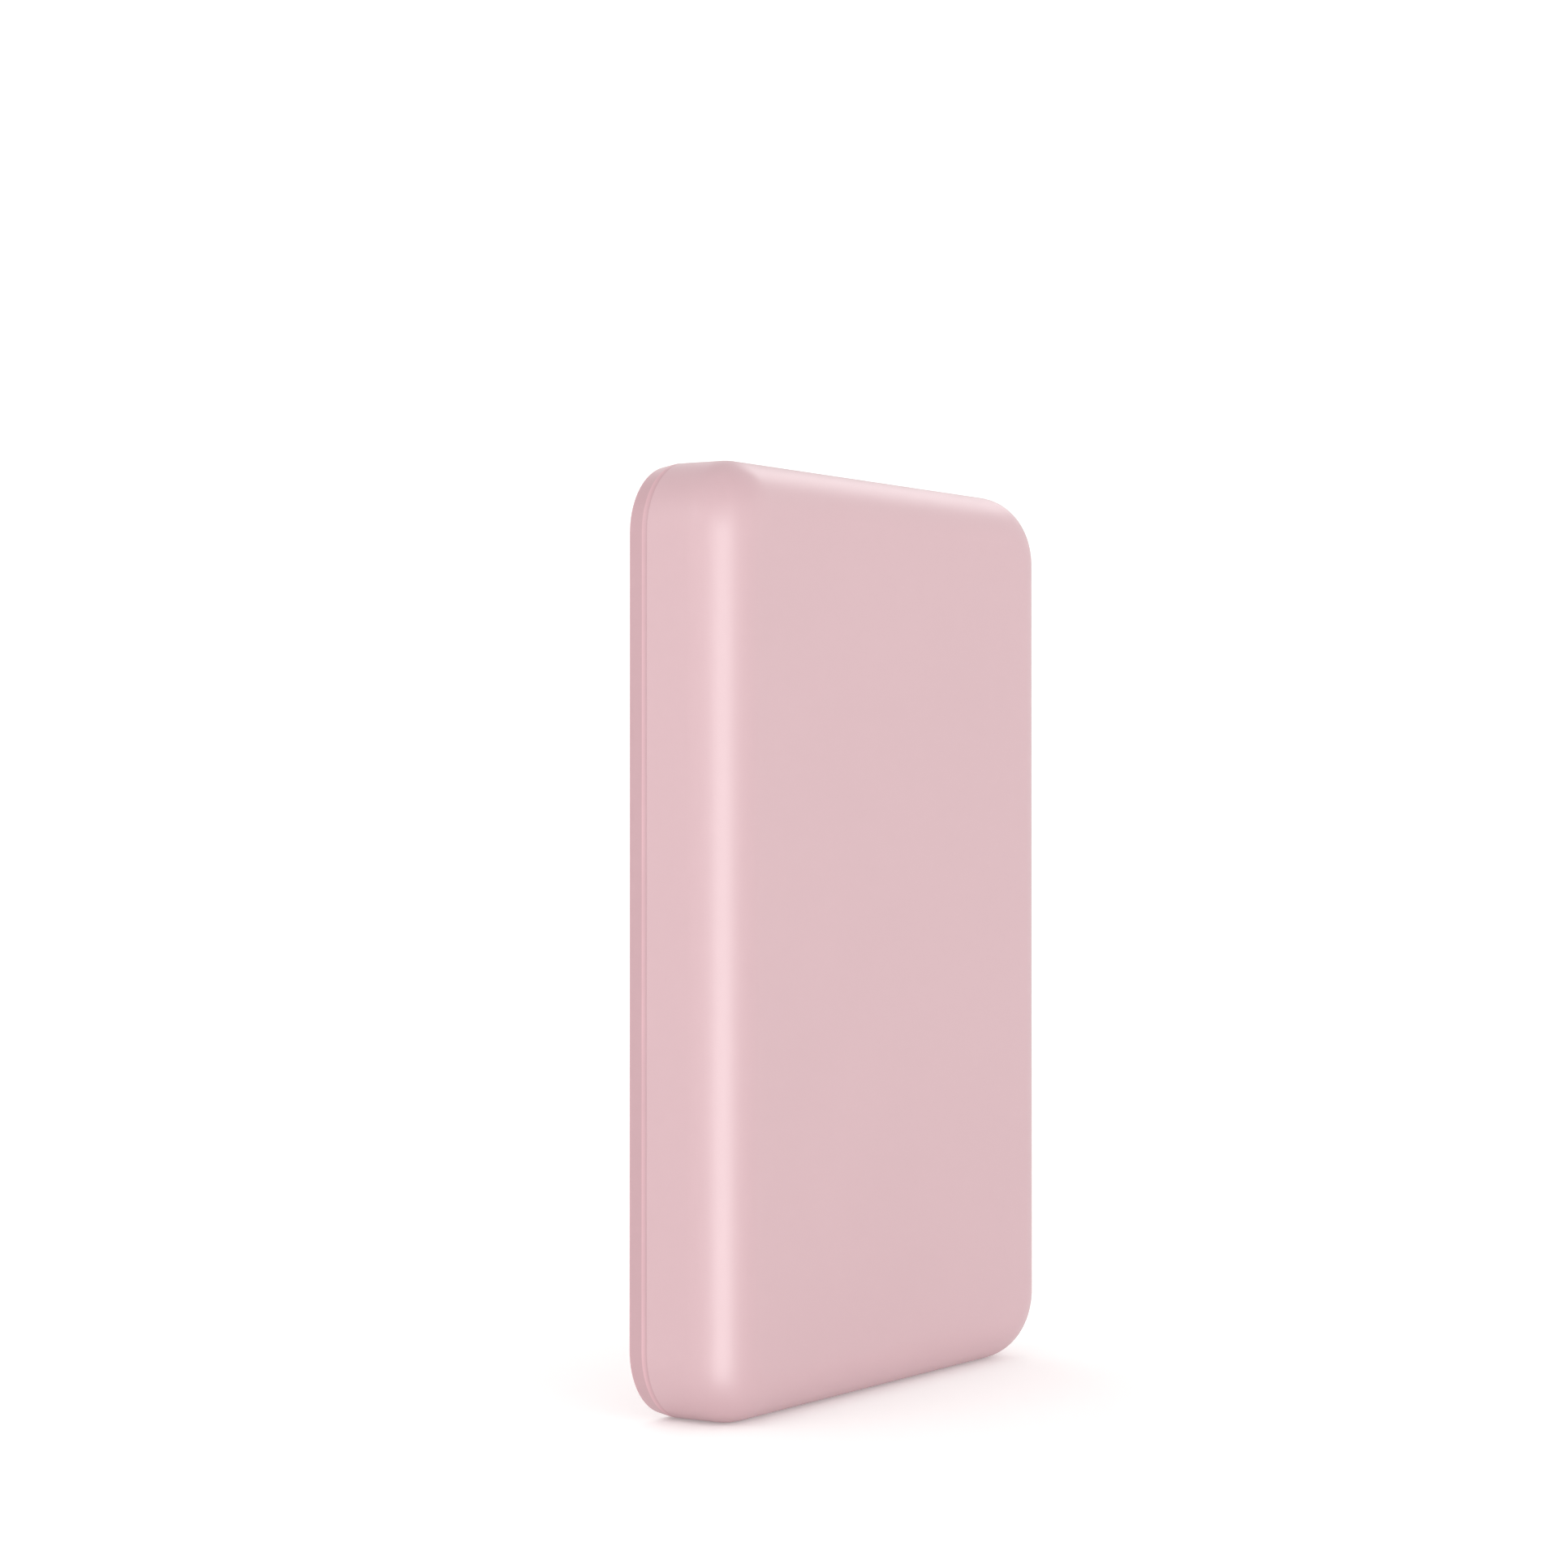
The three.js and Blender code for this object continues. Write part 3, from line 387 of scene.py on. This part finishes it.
def patchy_colour(tree, patches, colour, tint):
    """The colour, darker and lighter by tint from patch to patch."""
    shades = tree.nodes.new("ShaderNodeValToRGB")
    dark, light = shades.color_ramp.elements
    dark.position = PATCH_LOW
    dark.color = scaled(colour, 1 - tint)
    light.position = PATCH_HIGH
    light.color = scaled(colour, 1 + tint)
    tree.links.new(patches, shades.inputs["Fac"])
    return shades.outputs["Color"]


def product(tree, first, second):
    """The product of an output and another output or a number."""
    times = tree.nodes.new("ShaderNodeMath")
    times.operation = "MULTIPLY"
    tree.links.new(first, times.inputs[0])
    if isinstance(second, float):
        times.inputs[1].default_value = second
    else:
        tree.links.new(second, times.inputs[1])
    return times.outputs["Value"]


def worn_colour(tree, shown, patches, colour, wear):
    """The shown colour, rubbed lighter in patches along the edges that mark_edges found."""
    edge = tree.nodes.new("ShaderNodeAttribute")
    edge.attribute_name = "edge"
    rubbed = product(tree, edge.outputs["Fac"], patches)
    lighten = tree.nodes.new("ShaderNodeMix")
    lighten.data_type = "RGBA"
    lighten.inputs["B"].default_value = scaled(colour, WORN_LIGHTER)
    tree.links.new(product(tree, rubbed, wear), lighten.inputs["Factor"])
    tree.links.new(shown, lighten.inputs["A"])
    return lighten.outputs["Result"]


def grain_gloss(tree, grain, roughness, spread):
    """A roughness that varies with the grain."""
    gloss = tree.nodes.new("ShaderNodeMapRange")
    gloss.inputs["To Min"].default_value = max(LOWEST_ROUGHNESS, roughness - spread)
    gloss.inputs["To Max"].default_value = min(1.0, roughness + spread)
    tree.links.new(grain, gloss.inputs["Value"])
    return gloss.outputs["Result"]


def grain_bump(tree, grain, height):
    bump = tree.nodes.new("ShaderNodeBump")
    bump.inputs["Strength"].default_value = 1.0
    bump.inputs["Distance"].default_value = height
    tree.links.new(grain, bump.inputs["Height"])
    return bump.outputs["Normal"]


def finish(
    name,
    colour,
    roughness,
    metallic=0.0,
    tint=0.03,
    patch_scale=60,
    grain_scale=6000,
    grain_height=0.004 * MM,
    grain_roughness=0.05,
    stretch=(1, 1, 1),
    cells=False,
    wear=0.0,
    specular=0.5,
    coat=0.0,
    clear=0.0,
    glow=0.0,
):
    """A procedural finish: patchy colour, a grain in height and gloss, and worn edges.

    Scales are in repeats per metre. stretch draws the pattern out, as brushing does, and
    cells gives the grain a crystal or fibre pattern in place of a cloudy one.
    """
    material = bpy.data.materials.new(name)
    material.use_nodes = True
    tree = material.node_tree
    shader = tree.nodes["Principled BSDF"]
    shader.inputs["Metallic"].default_value = metallic
    shader.inputs["Specular IOR Level"].default_value = specular
    shader.inputs["Coat Weight"].default_value = coat
    shader.inputs["Transmission Weight"].default_value = clear
    shader.inputs["Emission Strength"].default_value = glow

    place = object_place(tree, stretch)
    patches = clouds(tree, place, patch_scale, PATCH_DETAIL)
    if cells:
        grain = crystals(tree, place, grain_scale)
    else:
        grain = clouds(tree, place, grain_scale, GRAIN_DETAIL)

    shown = patchy_colour(tree, patches, colour, tint)
    if wear:
        shown = worn_colour(tree, shown, patches, colour, wear)
    gloss = grain_gloss(tree, grain, roughness, grain_roughness)
    tree.links.new(shown, shader.inputs["Base Color"])
    tree.links.new(gloss, shader.inputs["Roughness"])
    tree.links.new(grain_bump(tree, grain, grain_height), shader.inputs["Normal"])
    return material


# ---------------------------------------------------------------------------
# The finishes, by the name of their slot
# ---------------------------------------------------------------------------

PINK = (0.580, 0.375, 0.405)
# The rear cover is a darker pink than the shell as painted shade. It stands in for the shade and dark
# reflections along the cover's back edge.
COVER_PINK_PAINTED_SHADE = (0.505, 0.300, 0.330)
PAD_PINK = (0.64, 0.39, 0.42)

SOFT_TOUCH = {"tint": 0.007, "patch_scale": 60, "grain_scale": 7000, "specular": 1.0}
BRUSHED = {"metallic": 1.0, "stretch": (1, 1, 0.04), "grain_scale": 3000}
SHEET_METAL = {"metallic": 1.0, "tint": 0.06, "patch_scale": 200, "grain_scale": 4000}

FINISHES = {
    "shell": finish("shell_finish", PINK, 0.45, wear=0.5, **SOFT_TOUCH),
    # The cover's darker pink is painted shade.
    "cover": finish("cover_painted_shade_finish", COVER_PINK_PAINTED_SHADE, 0.45, wear=2.0, **SOFT_TOUCH),
    "pad": finish(
        "pad_finish", PAD_PINK, 0.62,
        tint=0.02, patch_scale=70, grain_scale=5000, grain_height=0.01 * MM,
        wear=0.6, specular=0.4,
    ),
    "button": finish("button_finish", PINK, 0.42, wear=0.5, **SOFT_TOUCH),
    "frame_plastic": finish(
        "frame_plastic_finish", (0.62, 0.62, 0.60), 0.55,
        tint=0.04, grain_scale=2500,
    ),
    "cell_pouch": finish(
        "cell_pouch_finish", (0.62, 0.63, 0.66), 0.34,
        metallic=0.85, tint=0.05, patch_scale=120,
        grain_scale=900, grain_height=0.05 * MM, cells=True,
    ),
    "nickel": finish("nickel_finish", (0.66, 0.62, 0.55), 0.3, **SHEET_METAL),
    "foam": finish(
        "foam_finish", (0.05, 0.05, 0.055), 0.9,
        tint=0.2, grain_scale=2200, grain_height=0.1 * MM, cells=True, specular=0.2,
    ),
    "circuit_board": finish(
        "circuit_board_finish", (0.02, 0.13, 0.06), 0.38,
        tint=0.25, patch_scale=500, grain_scale=1500, grain_height=0.02 * MM, coat=0.3,
    ),
    "chip": finish(
        "chip_finish", (0.025, 0.025, 0.028), 0.5,
        tint=0.2, patch_scale=900, grain_scale=9000,
    ),
    "wire_red": finish(
        "wire_red_finish", (0.55, 0.02, 0.02), 0.42,
        tint=0.08, grain_scale=3000,
    ),
    "wire_black": finish(
        "wire_black_finish", (0.02, 0.02, 0.02), 0.42,
        tint=0.15, grain_scale=3000,
    ),
    "copper": finish(
        "copper_finish", (0.80, 0.38, 0.22), 0.32,
        metallic=1.0, tint=0.12, patch_scale=400,
        grain_scale=5000, grain_height=0.02 * MM, cells=True,
    ),
    "ferrite": finish(
        "ferrite_finish", (0.045, 0.045, 0.05), 0.6,
        tint=0.25, patch_scale=600, grain_scale=5000, grain_height=0.01 * MM, cells=True,
    ),
    "aluminium_sheet": finish("aluminium_finish", (0.78, 0.79, 0.80), 0.36, **BRUSHED),
    "black_plastic": finish(
        "black_plastic_finish", (0.022, 0.022, 0.024), 0.45,
        tint=0.15, patch_scale=300, grain_scale=6000, wear=0.5,
    ),
    "steel": finish("steel_finish", (0.58, 0.58, 0.60), 0.3, **SHEET_METAL),
    "port_steel": finish("port_steel_finish", (0.70, 0.70, 0.72), 0.26, **SHEET_METAL),
    "magnet": finish(
        "magnet_finish", (0.60, 0.60, 0.62), 0.22,
        metallic=1.0, tint=0.05, patch_scale=300, grain_scale=8000,
    ),
    "led": finish(
        "led_finish", (0.85, 0.83, 0.62), 0.3,
        tint=0.08, patch_scale=1500, grain_scale=9000, coat=0.4,
    ),
    "clear_plastic": finish(
        "clear_plastic_finish", (0.86, 0.85, 0.83), 0.3,
        tint=0.03, patch_scale=900, grain_scale=9000, clear=0.25,
    ),
    "capacitor": finish(
        "capacitor_finish", (0.42, 0.30, 0.20), 0.45,
        tint=0.12, patch_scale=900, grain_scale=8000,
    ),
}
GOLD = finish("contact_gold_finish", (0.86, 0.62, 0.28), 0.22, **SHEET_METAL)
PAPER = finish(
    "paper", (0.965, 0.965, 0.96), 0.9,
    tint=0.004, patch_scale=8, grain_scale=900, specular=0.1, glow=0.16,
)

# ---------------------------------------------------------------------------
# Front shell, with its openings in the side wall
# ---------------------------------------------------------------------------


def shell_rings():
    """From the middle of the face, over the fillet and side, round the rim and back inside."""
    rings = []
    for sine, cosine in quarter(FILLET_STEPS):
        rings.append(case_ring(FACE_FILLET * (1 - sine), FACE_Y + FACE_FILLET * (1 - cosine)))
    for sine, cosine in quarter(EDGE_STEPS):
        y = SEAM_Y - SEAM_EDGE_ROUND * (1 - sine)
        rings.append(case_ring(SEAM_EDGE_ROUND * (1 - cosine), y))
    rings.append(case_ring(SHELL_WALL, SEAM_Y))
    inner_fillet = FACE_FILLET - SHELL_WALL
    for sine, cosine in reversed(quarter(FILLET_STEPS // 2)):
        inset = SHELL_WALL + inner_fillet * (1 - sine)
        y = FACE_Y + SHELL_WALL + inner_fillet * (1 - cosine)
        rings.append(case_ring(inset, y))
    return rings


def aperture_rings(shape, z, edge_round):
    """A cutter through the side wall. shape(outset) gives its outline; its mouth is rounded."""
    rings = [side_ring(shape(0), WALL_X - 2 * SHELL_WALL, PORT_Y, z)]
    for sine, cosine in quarter(EDGE_STEPS):
        x = WALL_X - edge_round * (1 - sine)
        rings.append(side_ring(shape(edge_round * (1 - cosine)), x + HAIR, PORT_Y, z))
    rings.append(side_ring(shape(edge_round), WALL_X + SHELL_WALL, PORT_Y, z))
    return rings


def port_hole(outset):
    return pill(PORT_WIDTH, PORT_LENGTH, -APERTURE_GAP - outset)


def button_hole(outset):
    return pill(BUTTON_WIDTH, BUTTON_LENGTH, -BUTTON_GAP - outset)


def light_hole(outset):
    return circle(LIGHT_HOLE_RADIUS + outset, SMALL_STEPS)


shell = lofted("front_shell_body", [shell_rings()])
apertures = [
    aperture_rings(port_hole, PORT_Z, APERTURE_ROUND),
    aperture_rings(button_hole, BUTTON_Z, APERTURE_ROUND),
]
apertures += [aperture_rings(light_hole, z, APERTURE_ROUND / 2) for z in LIGHT_Z]
join_or_cut(shell, "DIFFERENCE", apertures)
finish_piece(shell, FINISHES["shell"], "shell", "case", "front_shell")

# ---------------------------------------------------------------------------
# Rear cover and the pad in its recess
# ---------------------------------------------------------------------------


def cover_rings():
    """From the middle of the back, over its edge, taper and chamfer, round the lip and inside.

    One ring just above the chamfer keeps the wear of its edge from spreading up the taper.
    """
    rim_y = SEAM_Y + SEAM_GAP
    rings = []
    for sine, cosine in quarter(EDGE_STEPS):
        inset = COVER_TAPER + BACK_EDGE_ROUND * (1 - sine)
        rings.append(case_ring(inset, BACK_Y - BACK_EDGE_ROUND * (1 - cosine)))
    taper_y = rim_y + COVER_CHAMFER_RUN
    taper_run = BACK_Y - BACK_EDGE_ROUND - taper_y
    rings.append(case_ring(COVER_TAPER * COVER_WEAR_FADE / taper_run, taper_y + COVER_WEAR_FADE))
    rings.append(case_ring(0, taper_y))
    for sine, cosine in quarter(EDGE_STEPS):
        inset = COVER_CHAMFER_RISE + SEAM_EDGE_ROUND * (1 - cosine)
        rings.append(case_ring(inset, rim_y + SEAM_EDGE_ROUND * (1 - sine)))
    rings.append(case_ring(LIP_INSET, rim_y))
    rings.append(case_ring(LIP_INSET, LIP_Y))
    rings.append(case_ring(LIP_INSET + LIP_WALL, LIP_Y))
    rings.append(case_ring(LIP_INSET + LIP_WALL, BACK_Y - COVER_WALL))
    return rings


def recess_rings():
    """The round recess for the pad, with a rounded mouth."""
    radius = PAD_RADIUS + RECESS_GAP
    rings = [pad_ring(radius, BACK_Y - RECESS_DEPTH)]
    for sine, cosine in quarter(EDGE_STEPS):
        y = BACK_Y - RECESS_EDGE_ROUND * (1 - sine)
        rings.append(pad_ring(radius + RECESS_EDGE_ROUND * (1 - cosine), y + HAIR))
    rings.append(pad_ring(radius + RECESS_EDGE_ROUND, BACK_Y + CUT_BEYOND))
    return rings


def pad_rings():
    """A soft disc with a rounded edge and one shallow round groove in its outer face."""
    top = PAD_HIGH.y
    rings = [pad_ring(PAD_RADIUS, PAD_LOW.y)]
    for sine, cosine in quarter(EDGE_STEPS):
        radius = PAD_RADIUS - PAD_EDGE_ROUND * (1 - cosine)
        rings.append(pad_ring(radius, top - PAD_EDGE_ROUND * (1 - sine)))
    for step in range(GROOVE_STEPS + 1):
        part = step / GROOVE_STEPS
        radius = PAD_GROOVE_RADIUS + PAD_GROOVE_WIDTH * (0.5 - part)
        depth = PAD_GROOVE_DEPTH * (1 - math.cos(part * 2 * math.pi)) / 2
        rings.append(pad_ring(radius, top - depth))
    return rings


cover = lofted("rear_cover_body", [cover_rings()])
join_or_cut(cover, "DIFFERENCE", [recess_rings()])
finish_piece(cover, FINISHES["cover"], "cover", "case", "rear_cover")

pad = lofted("contact_pad_disc", [pad_rings()])
finish_piece(pad, FINISHES["pad"], "pad", "case", "contact_pad")

# ---------------------------------------------------------------------------
# Power button, and the snap dome of its switch
# ---------------------------------------------------------------------------


def button_rings():
    """Stem, flange and cap in one, out to the cap's slightly dished face."""
    face_x = BUTTON_HIGH.x
    flange_x = BUTTON_LOW.x + STEM_LENGTH
    cap_x = flange_x + FLANGE_THICKNESS
    stem = circle(STEM_RADIUS, SMALL_STEPS)
    flange_width = BUTTON_HIGH.y - BUTTON_LOW.y
    flange_length = BUTTON_HIGH.z - BUTTON_LOW.z
    flange = outline(flange_width, flange_length, FLANGE_RADIUS, SMALL_STEPS)
    cap = pill(BUTTON_WIDTH, BUTTON_LENGTH)
    steps = [(stem, BUTTON_LOW.x), (stem, flange_x), (flange, flange_x), (flange, cap_x), (cap, cap_x)]
    for sine, cosine in quarter(2 * EDGE_STEPS):
        inset = BUTTON_ROUND * (1 - cosine)
        steps.append((pill(BUTTON_WIDTH, BUTTON_LENGTH, inset), face_x - BUTTON_ROUND * (1 - sine)))
    dish_run = BUTTON_WIDTH / 2 - BUTTON_ROUND
    for step in range(1, SMALL_STEPS):
        part = step / SMALL_STEPS
        depth = BUTTON_DISH * (1 - math.cos(part * math.pi)) / 2
        inset = BUTTON_ROUND + dish_run * part
        steps.append((pill(BUTTON_WIDTH, BUTTON_LENGTH, inset), face_x - depth))
    return [side_ring(points, x, PORT_Y, BUTTON_Z) for points, x in steps]


def dome_rings():
    """The sprung sheet dome behind the button: over its crown, round the rim and back under."""
    radius = (DOME_HIGH.y - DOME_LOW.y) / 2
    rise = DOME_HIGH.x - DOME_LOW.x - DOME_SHEET
    shares = [step / SMALL_STEPS for step in range(1, SMALL_STEPS + 1)]
    above = [(share, DOME_SHEET) for share in shares]
    below = [(share, 0) for share in reversed(shares)]
    rings = []
    for share, lift in above + below:
        x = DOME_LOW.x + rise * (1 - share**2) + lift
        rings.append(side_ring(circle(radius * share, SMALL_STEPS), x, PORT_Y, BUTTON_Z))
    return rings


button = lofted("power_button_cap", [button_rings()])
finish_piece(button, FINISHES["button"], "button", "button", "power_button")

dome = lofted("snap_dome_sheet", [dome_rings()])
finish_piece(dome, FINISHES["steel"], "steel", "case", "snap_dome")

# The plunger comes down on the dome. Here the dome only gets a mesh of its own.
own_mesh(dome)

# ---------------------------------------------------------------------------
# Light guide: a bar behind four pins that show in the wall
# ---------------------------------------------------------------------------


def light_pin_rings(z):
    """One round pin of the light guide, domed where it shows in the wall."""
    start_x = GUIDE_LOW.x + GUIDE_BAR_DEPTH / 2
    rings = [side_ring(circle(LIGHT_RADIUS, SMALL_STEPS), start_x, PORT_Y, z)]
    for sine, cosine in quarter(SMALL_STEPS)[:-1]:
        x = GUIDE_HIGH.x - LIGHT_DOME * (1 - sine)
        rings.append(side_ring(circle(LIGHT_RADIUS * cosine, SMALL_STEPS), x, PORT_Y, z))
    return rings


def guide_bar_rings():
    """The bar behind the pins that gathers the light of the LEDs."""
    depth = GUIDE_HIGH.y - GUIDE_LOW.y
    length = GUIDE_HIGH.z - GUIDE_LOW.z
    middle_y = (GUIDE_HIGH.y + GUIDE_LOW.y) / 2
    ends = (GUIDE_LOW.x, GUIDE_LOW.x + GUIDE_BAR_DEPTH)
    bar = outline(depth, length, GUIDE_BAR_ROUND, EDGE_STEPS)
    return [side_ring(bar, x, middle_y, LIGHT_MIDDLE) for x in ends]


guide = lofted("light_guide", [guide_bar_rings()])
join_or_cut(guide, "UNION", [light_pin_rings(z) for z in LIGHT_Z])
finish_piece(guide, FINISHES["clear_plastic"], "clear_plastic", "case", "light_pipe")

# ---------------------------------------------------------------------------
# USB-C port: sleeve, tongue and contacts
# ---------------------------------------------------------------------------


def port_rings():
    """The drawn steel sleeve: outside, round its lip, and back along the inside."""
    steps = [(0, PORT_LOW.x)]
    for sine, cosine in quarter(EDGE_STEPS):
        steps.append((PORT_LIP_ROUND * (1 - cosine), PORT_HIGH.x - PORT_LIP_ROUND * (1 - sine)))
    for sine, cosine in reversed(quarter(EDGE_STEPS)):
        inset = PORT_SHEET - PORT_LIP_ROUND * (1 - cosine)
        steps.append((inset, PORT_HIGH.x - PORT_LIP_ROUND * (1 - sine)))
    steps.append((PORT_SHEET, PORT_LOW.x))
    return [
        side_ring(pill(PORT_WIDTH, PORT_LENGTH, inset), x, PORT_Y, PORT_Z) for inset, x in steps
    ]


def core_rings():
    """The plastic plug that closes the back of the sleeve."""
    core = pill(TONGUE_HIGH.y - TONGUE_LOW.y, TONGUE_HIGH.z - TONGUE_LOW.z)
    ends = (TONGUE_LOW.x, TONGUE_LOW.x + CORE_LENGTH)
    return [side_ring(core, x, PORT_Y, PORT_Z) for x in ends]


def tongue_rings():
    """The thin tongue between the two rows of contacts."""
    steps = [(0, TONGUE_LOW.x + CORE_LENGTH / 2)]
    for sine, cosine in quarter(EDGE_STEPS):
        steps.append((TONGUE_ROUND * (1 - cosine), TONGUE_HIGH.x - TONGUE_ROUND * (1 - sine)))
    rings = []
    for inset, x in steps:
        across, up = TONGUE_THICKNESS - 2 * inset, TONGUE_WIDTH - 2 * inset
        points = outline(across, up, TONGUE_ROUND - inset / 2, SMALL_STEPS)
        rings.append(side_ring(points, x, PORT_Y, PORT_Z))
    return rings


def contact_rings(side, number):
    """One plated contact strip with a trimmed tip, let into a face of the tongue."""
    thickness = CONTACT_SINK + CONTACT_PROUD
    y = PORT_Y + side * (TONGUE_THICKNESS / 2 - CONTACT_SINK + thickness / 2)
    z = PORT_Z + (number - (CONTACTS_PER_SIDE - 1) / 2) * CONTACT_PITCH
    tip = TONGUE_HIGH.x - 2 * TONGUE_ROUND
    steps = [
        (CONTACT_WIDTH, tip - CONTACT_LENGTH),
        (CONTACT_WIDTH, tip - CONTACT_PROUD),
        (CONTACT_TIP_WIDTH, tip),
    ]
    rings = []
    for width, x in steps:
        strip = outline(thickness, width, CONTACT_PROUD / 2, CONTACT_CORNER_STEPS)
        rings.append(side_ring(strip, x, y, z))
    return rings


sleeve = lofted("usb_sleeve", [port_rings()], tube=True)
finish_piece(sleeve, FINISHES["port_steel"], "port_steel", "case", "usb_shell")

tongue = lofted("usb_tongue_moulding", [core_rings()])
join_or_cut(tongue, "UNION", [tongue_rings()])
finish_piece(tongue, FINISHES["black_plastic"], "black_plastic", "case", "usb_tongue")

strips = [
    contact_rings(side, number) for side in (-1, 1) for number in range(CONTACTS_PER_SIDE)
]
contacts = lofted("usb_contacts", strips)
finish_piece(contacts, GOLD, "nickel", "case")

# ---------------------------------------------------------------------------
# The CAD nodes that stay: their own slots, in the finishes above
# ---------------------------------------------------------------------------

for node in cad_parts.values():
    for slot in node.material_slots:
        slot.material = FINISHES[slot.material.name.split(".")[0]]

# ---------------------------------------------------------------------------
# Studio: a pale round paper sweep that glows a little, a pale sky and soft lights.
# The places of the lights are from the object's middle.
# ---------------------------------------------------------------------------

STAGE_MIDDLE_RADIUS = 0.05
STAGE_FLAT_RADIUS = 0.7
STAGE_BEND = 0.5
STAGE_BEND_STEPS = 12
STAGE_HEIGHT = 1.0
STAGE_STEPS = 96
SKY_COLOUR = (1.0, 1.0, 0.995, 1.0)
SKY_STRENGTH = 0.73
KEY_TURN = math.radians(50)
KEY_DISTANCE = 0.9
KEY_SIZE = (0.8, 0.6)
KEY_POWER = 1.85
GLOSS_SIZE = (0.6, 1.0)
GLOSS_POWER = 7.4
GLOSS_DROP = 0.30
FILL_PLACE = Vector((-0.72, 0.2, 0.45))
FILL_SIZE = (0.5, 0.5)
FILL_POWER = 0.66
TOP_PLACE = Vector((0.72, 0.09, 0.54))
TOP_SIZE = (0.4, 0.3)
TOP_POWER = 0.95
BACK_PLACE = Vector((0.5, 0.8, 0.4))
BACK_SIZE = (0.6, 0.6)
BACK_POWER = 1.05


def sweep_rings():
    """Rings of a floor that turns up into a round wall without a corner."""
    profile = [(STAGE_MIDDLE_RADIUS, 0), (STAGE_FLAT_RADIUS, 0)]
    for sine, cosine in quarter(STAGE_BEND_STEPS)[1:]:
        profile.append((STAGE_FLAT_RADIUS + STAGE_BEND * sine, STAGE_BEND * (1 - cosine)))
    profile.append((STAGE_FLAT_RADIUS + STAGE_BEND, STAGE_HEIGHT))
    turns = [step / STAGE_STEPS * 2 * math.pi for step in range(STAGE_STEPS)]
    return [
        [Vector((radius * math.cos(turn), radius * math.sin(turn), z)) for turn in turns]
        for radius, z in profile
    ]


def sweep_mesh():
    """The sweep, closed in its middle and open at its top."""
    bm = bmesh.new()
    rows = [[bm.verts.new(point) for point in ring] for ring in sweep_rings()]
    bm.faces.new(rows[0])
    for near, far in zip(rows, rows[1:]):
        for at in range(STAGE_STEPS):
            after = (at + 1) % STAGE_STEPS
            bm.faces.new((near[at], far[at], far[after], near[after]))
    mesh = bpy.data.meshes.new("floor_sweep")
    bm.to_mesh(mesh)
    bm.free()
    mesh.shade_smooth()
    return mesh


def softbox(name, place, size, power):
    """A soft light of the given size that faces the object's middle."""
    data = bpy.data.lights.new(name, "AREA")
    data.shape = "RECTANGLE"
    data.size, data.size_y = size
    data.energy = power
    light = bpy.data.objects.new(name, data)
    light.location = place
    light.rotation_euler = (OBJECT_MIDDLE - place).to_track_quat("-Z", "Y").to_euler()
    light.visible_camera = False
    bpy.context.scene.collection.objects.link(light)
    return light


# The sweep casts no shadow, so the sky lights the object from below and behind too.
floor = link("floor_sweep", sweep_mesh())
floor.data.materials.append(PAPER)
floor.visible_shadow = False

world = bpy.data.worlds.new("sky")
world.use_nodes = True
sky = world.node_tree.nodes["Background"]
sky.inputs["Color"].default_value = SKY_COLOUR
sky.inputs["Strength"].default_value = SKY_STRENGTH
bpy.context.scene.world = world

# The key stands on the floor. The gloss and top lights show only as reflections.
towards_key = Vector((-math.cos(KEY_TURN), -math.sin(KEY_TURN), 0))
key_place = towards_key * KEY_DISTANCE + Vector((0, 0, KEY_SIZE[1] / 2))
gloss_place = OBJECT_MIDDLE + towards_key * KEY_DISTANCE - Vector((0, 0, GLOSS_DROP))
softbox("key", key_place, KEY_SIZE, KEY_POWER)
gloss = softbox("gloss", gloss_place, GLOSS_SIZE, GLOSS_POWER)
gloss.visible_diffuse = False
gloss.data.cycles.use_multiple_importance_sampling = False
softbox("fill", OBJECT_MIDDLE + FILL_PLACE, FILL_SIZE, FILL_POWER)
top = softbox("top", OBJECT_MIDDLE + TOP_PLACE, TOP_SIZE, TOP_POWER)
top.visible_diffuse = False
softbox("back", OBJECT_MIDDLE + BACK_PLACE, BACK_SIZE, BACK_POWER)

bpy.context.scene.view_settings.view_transform = "Standard"
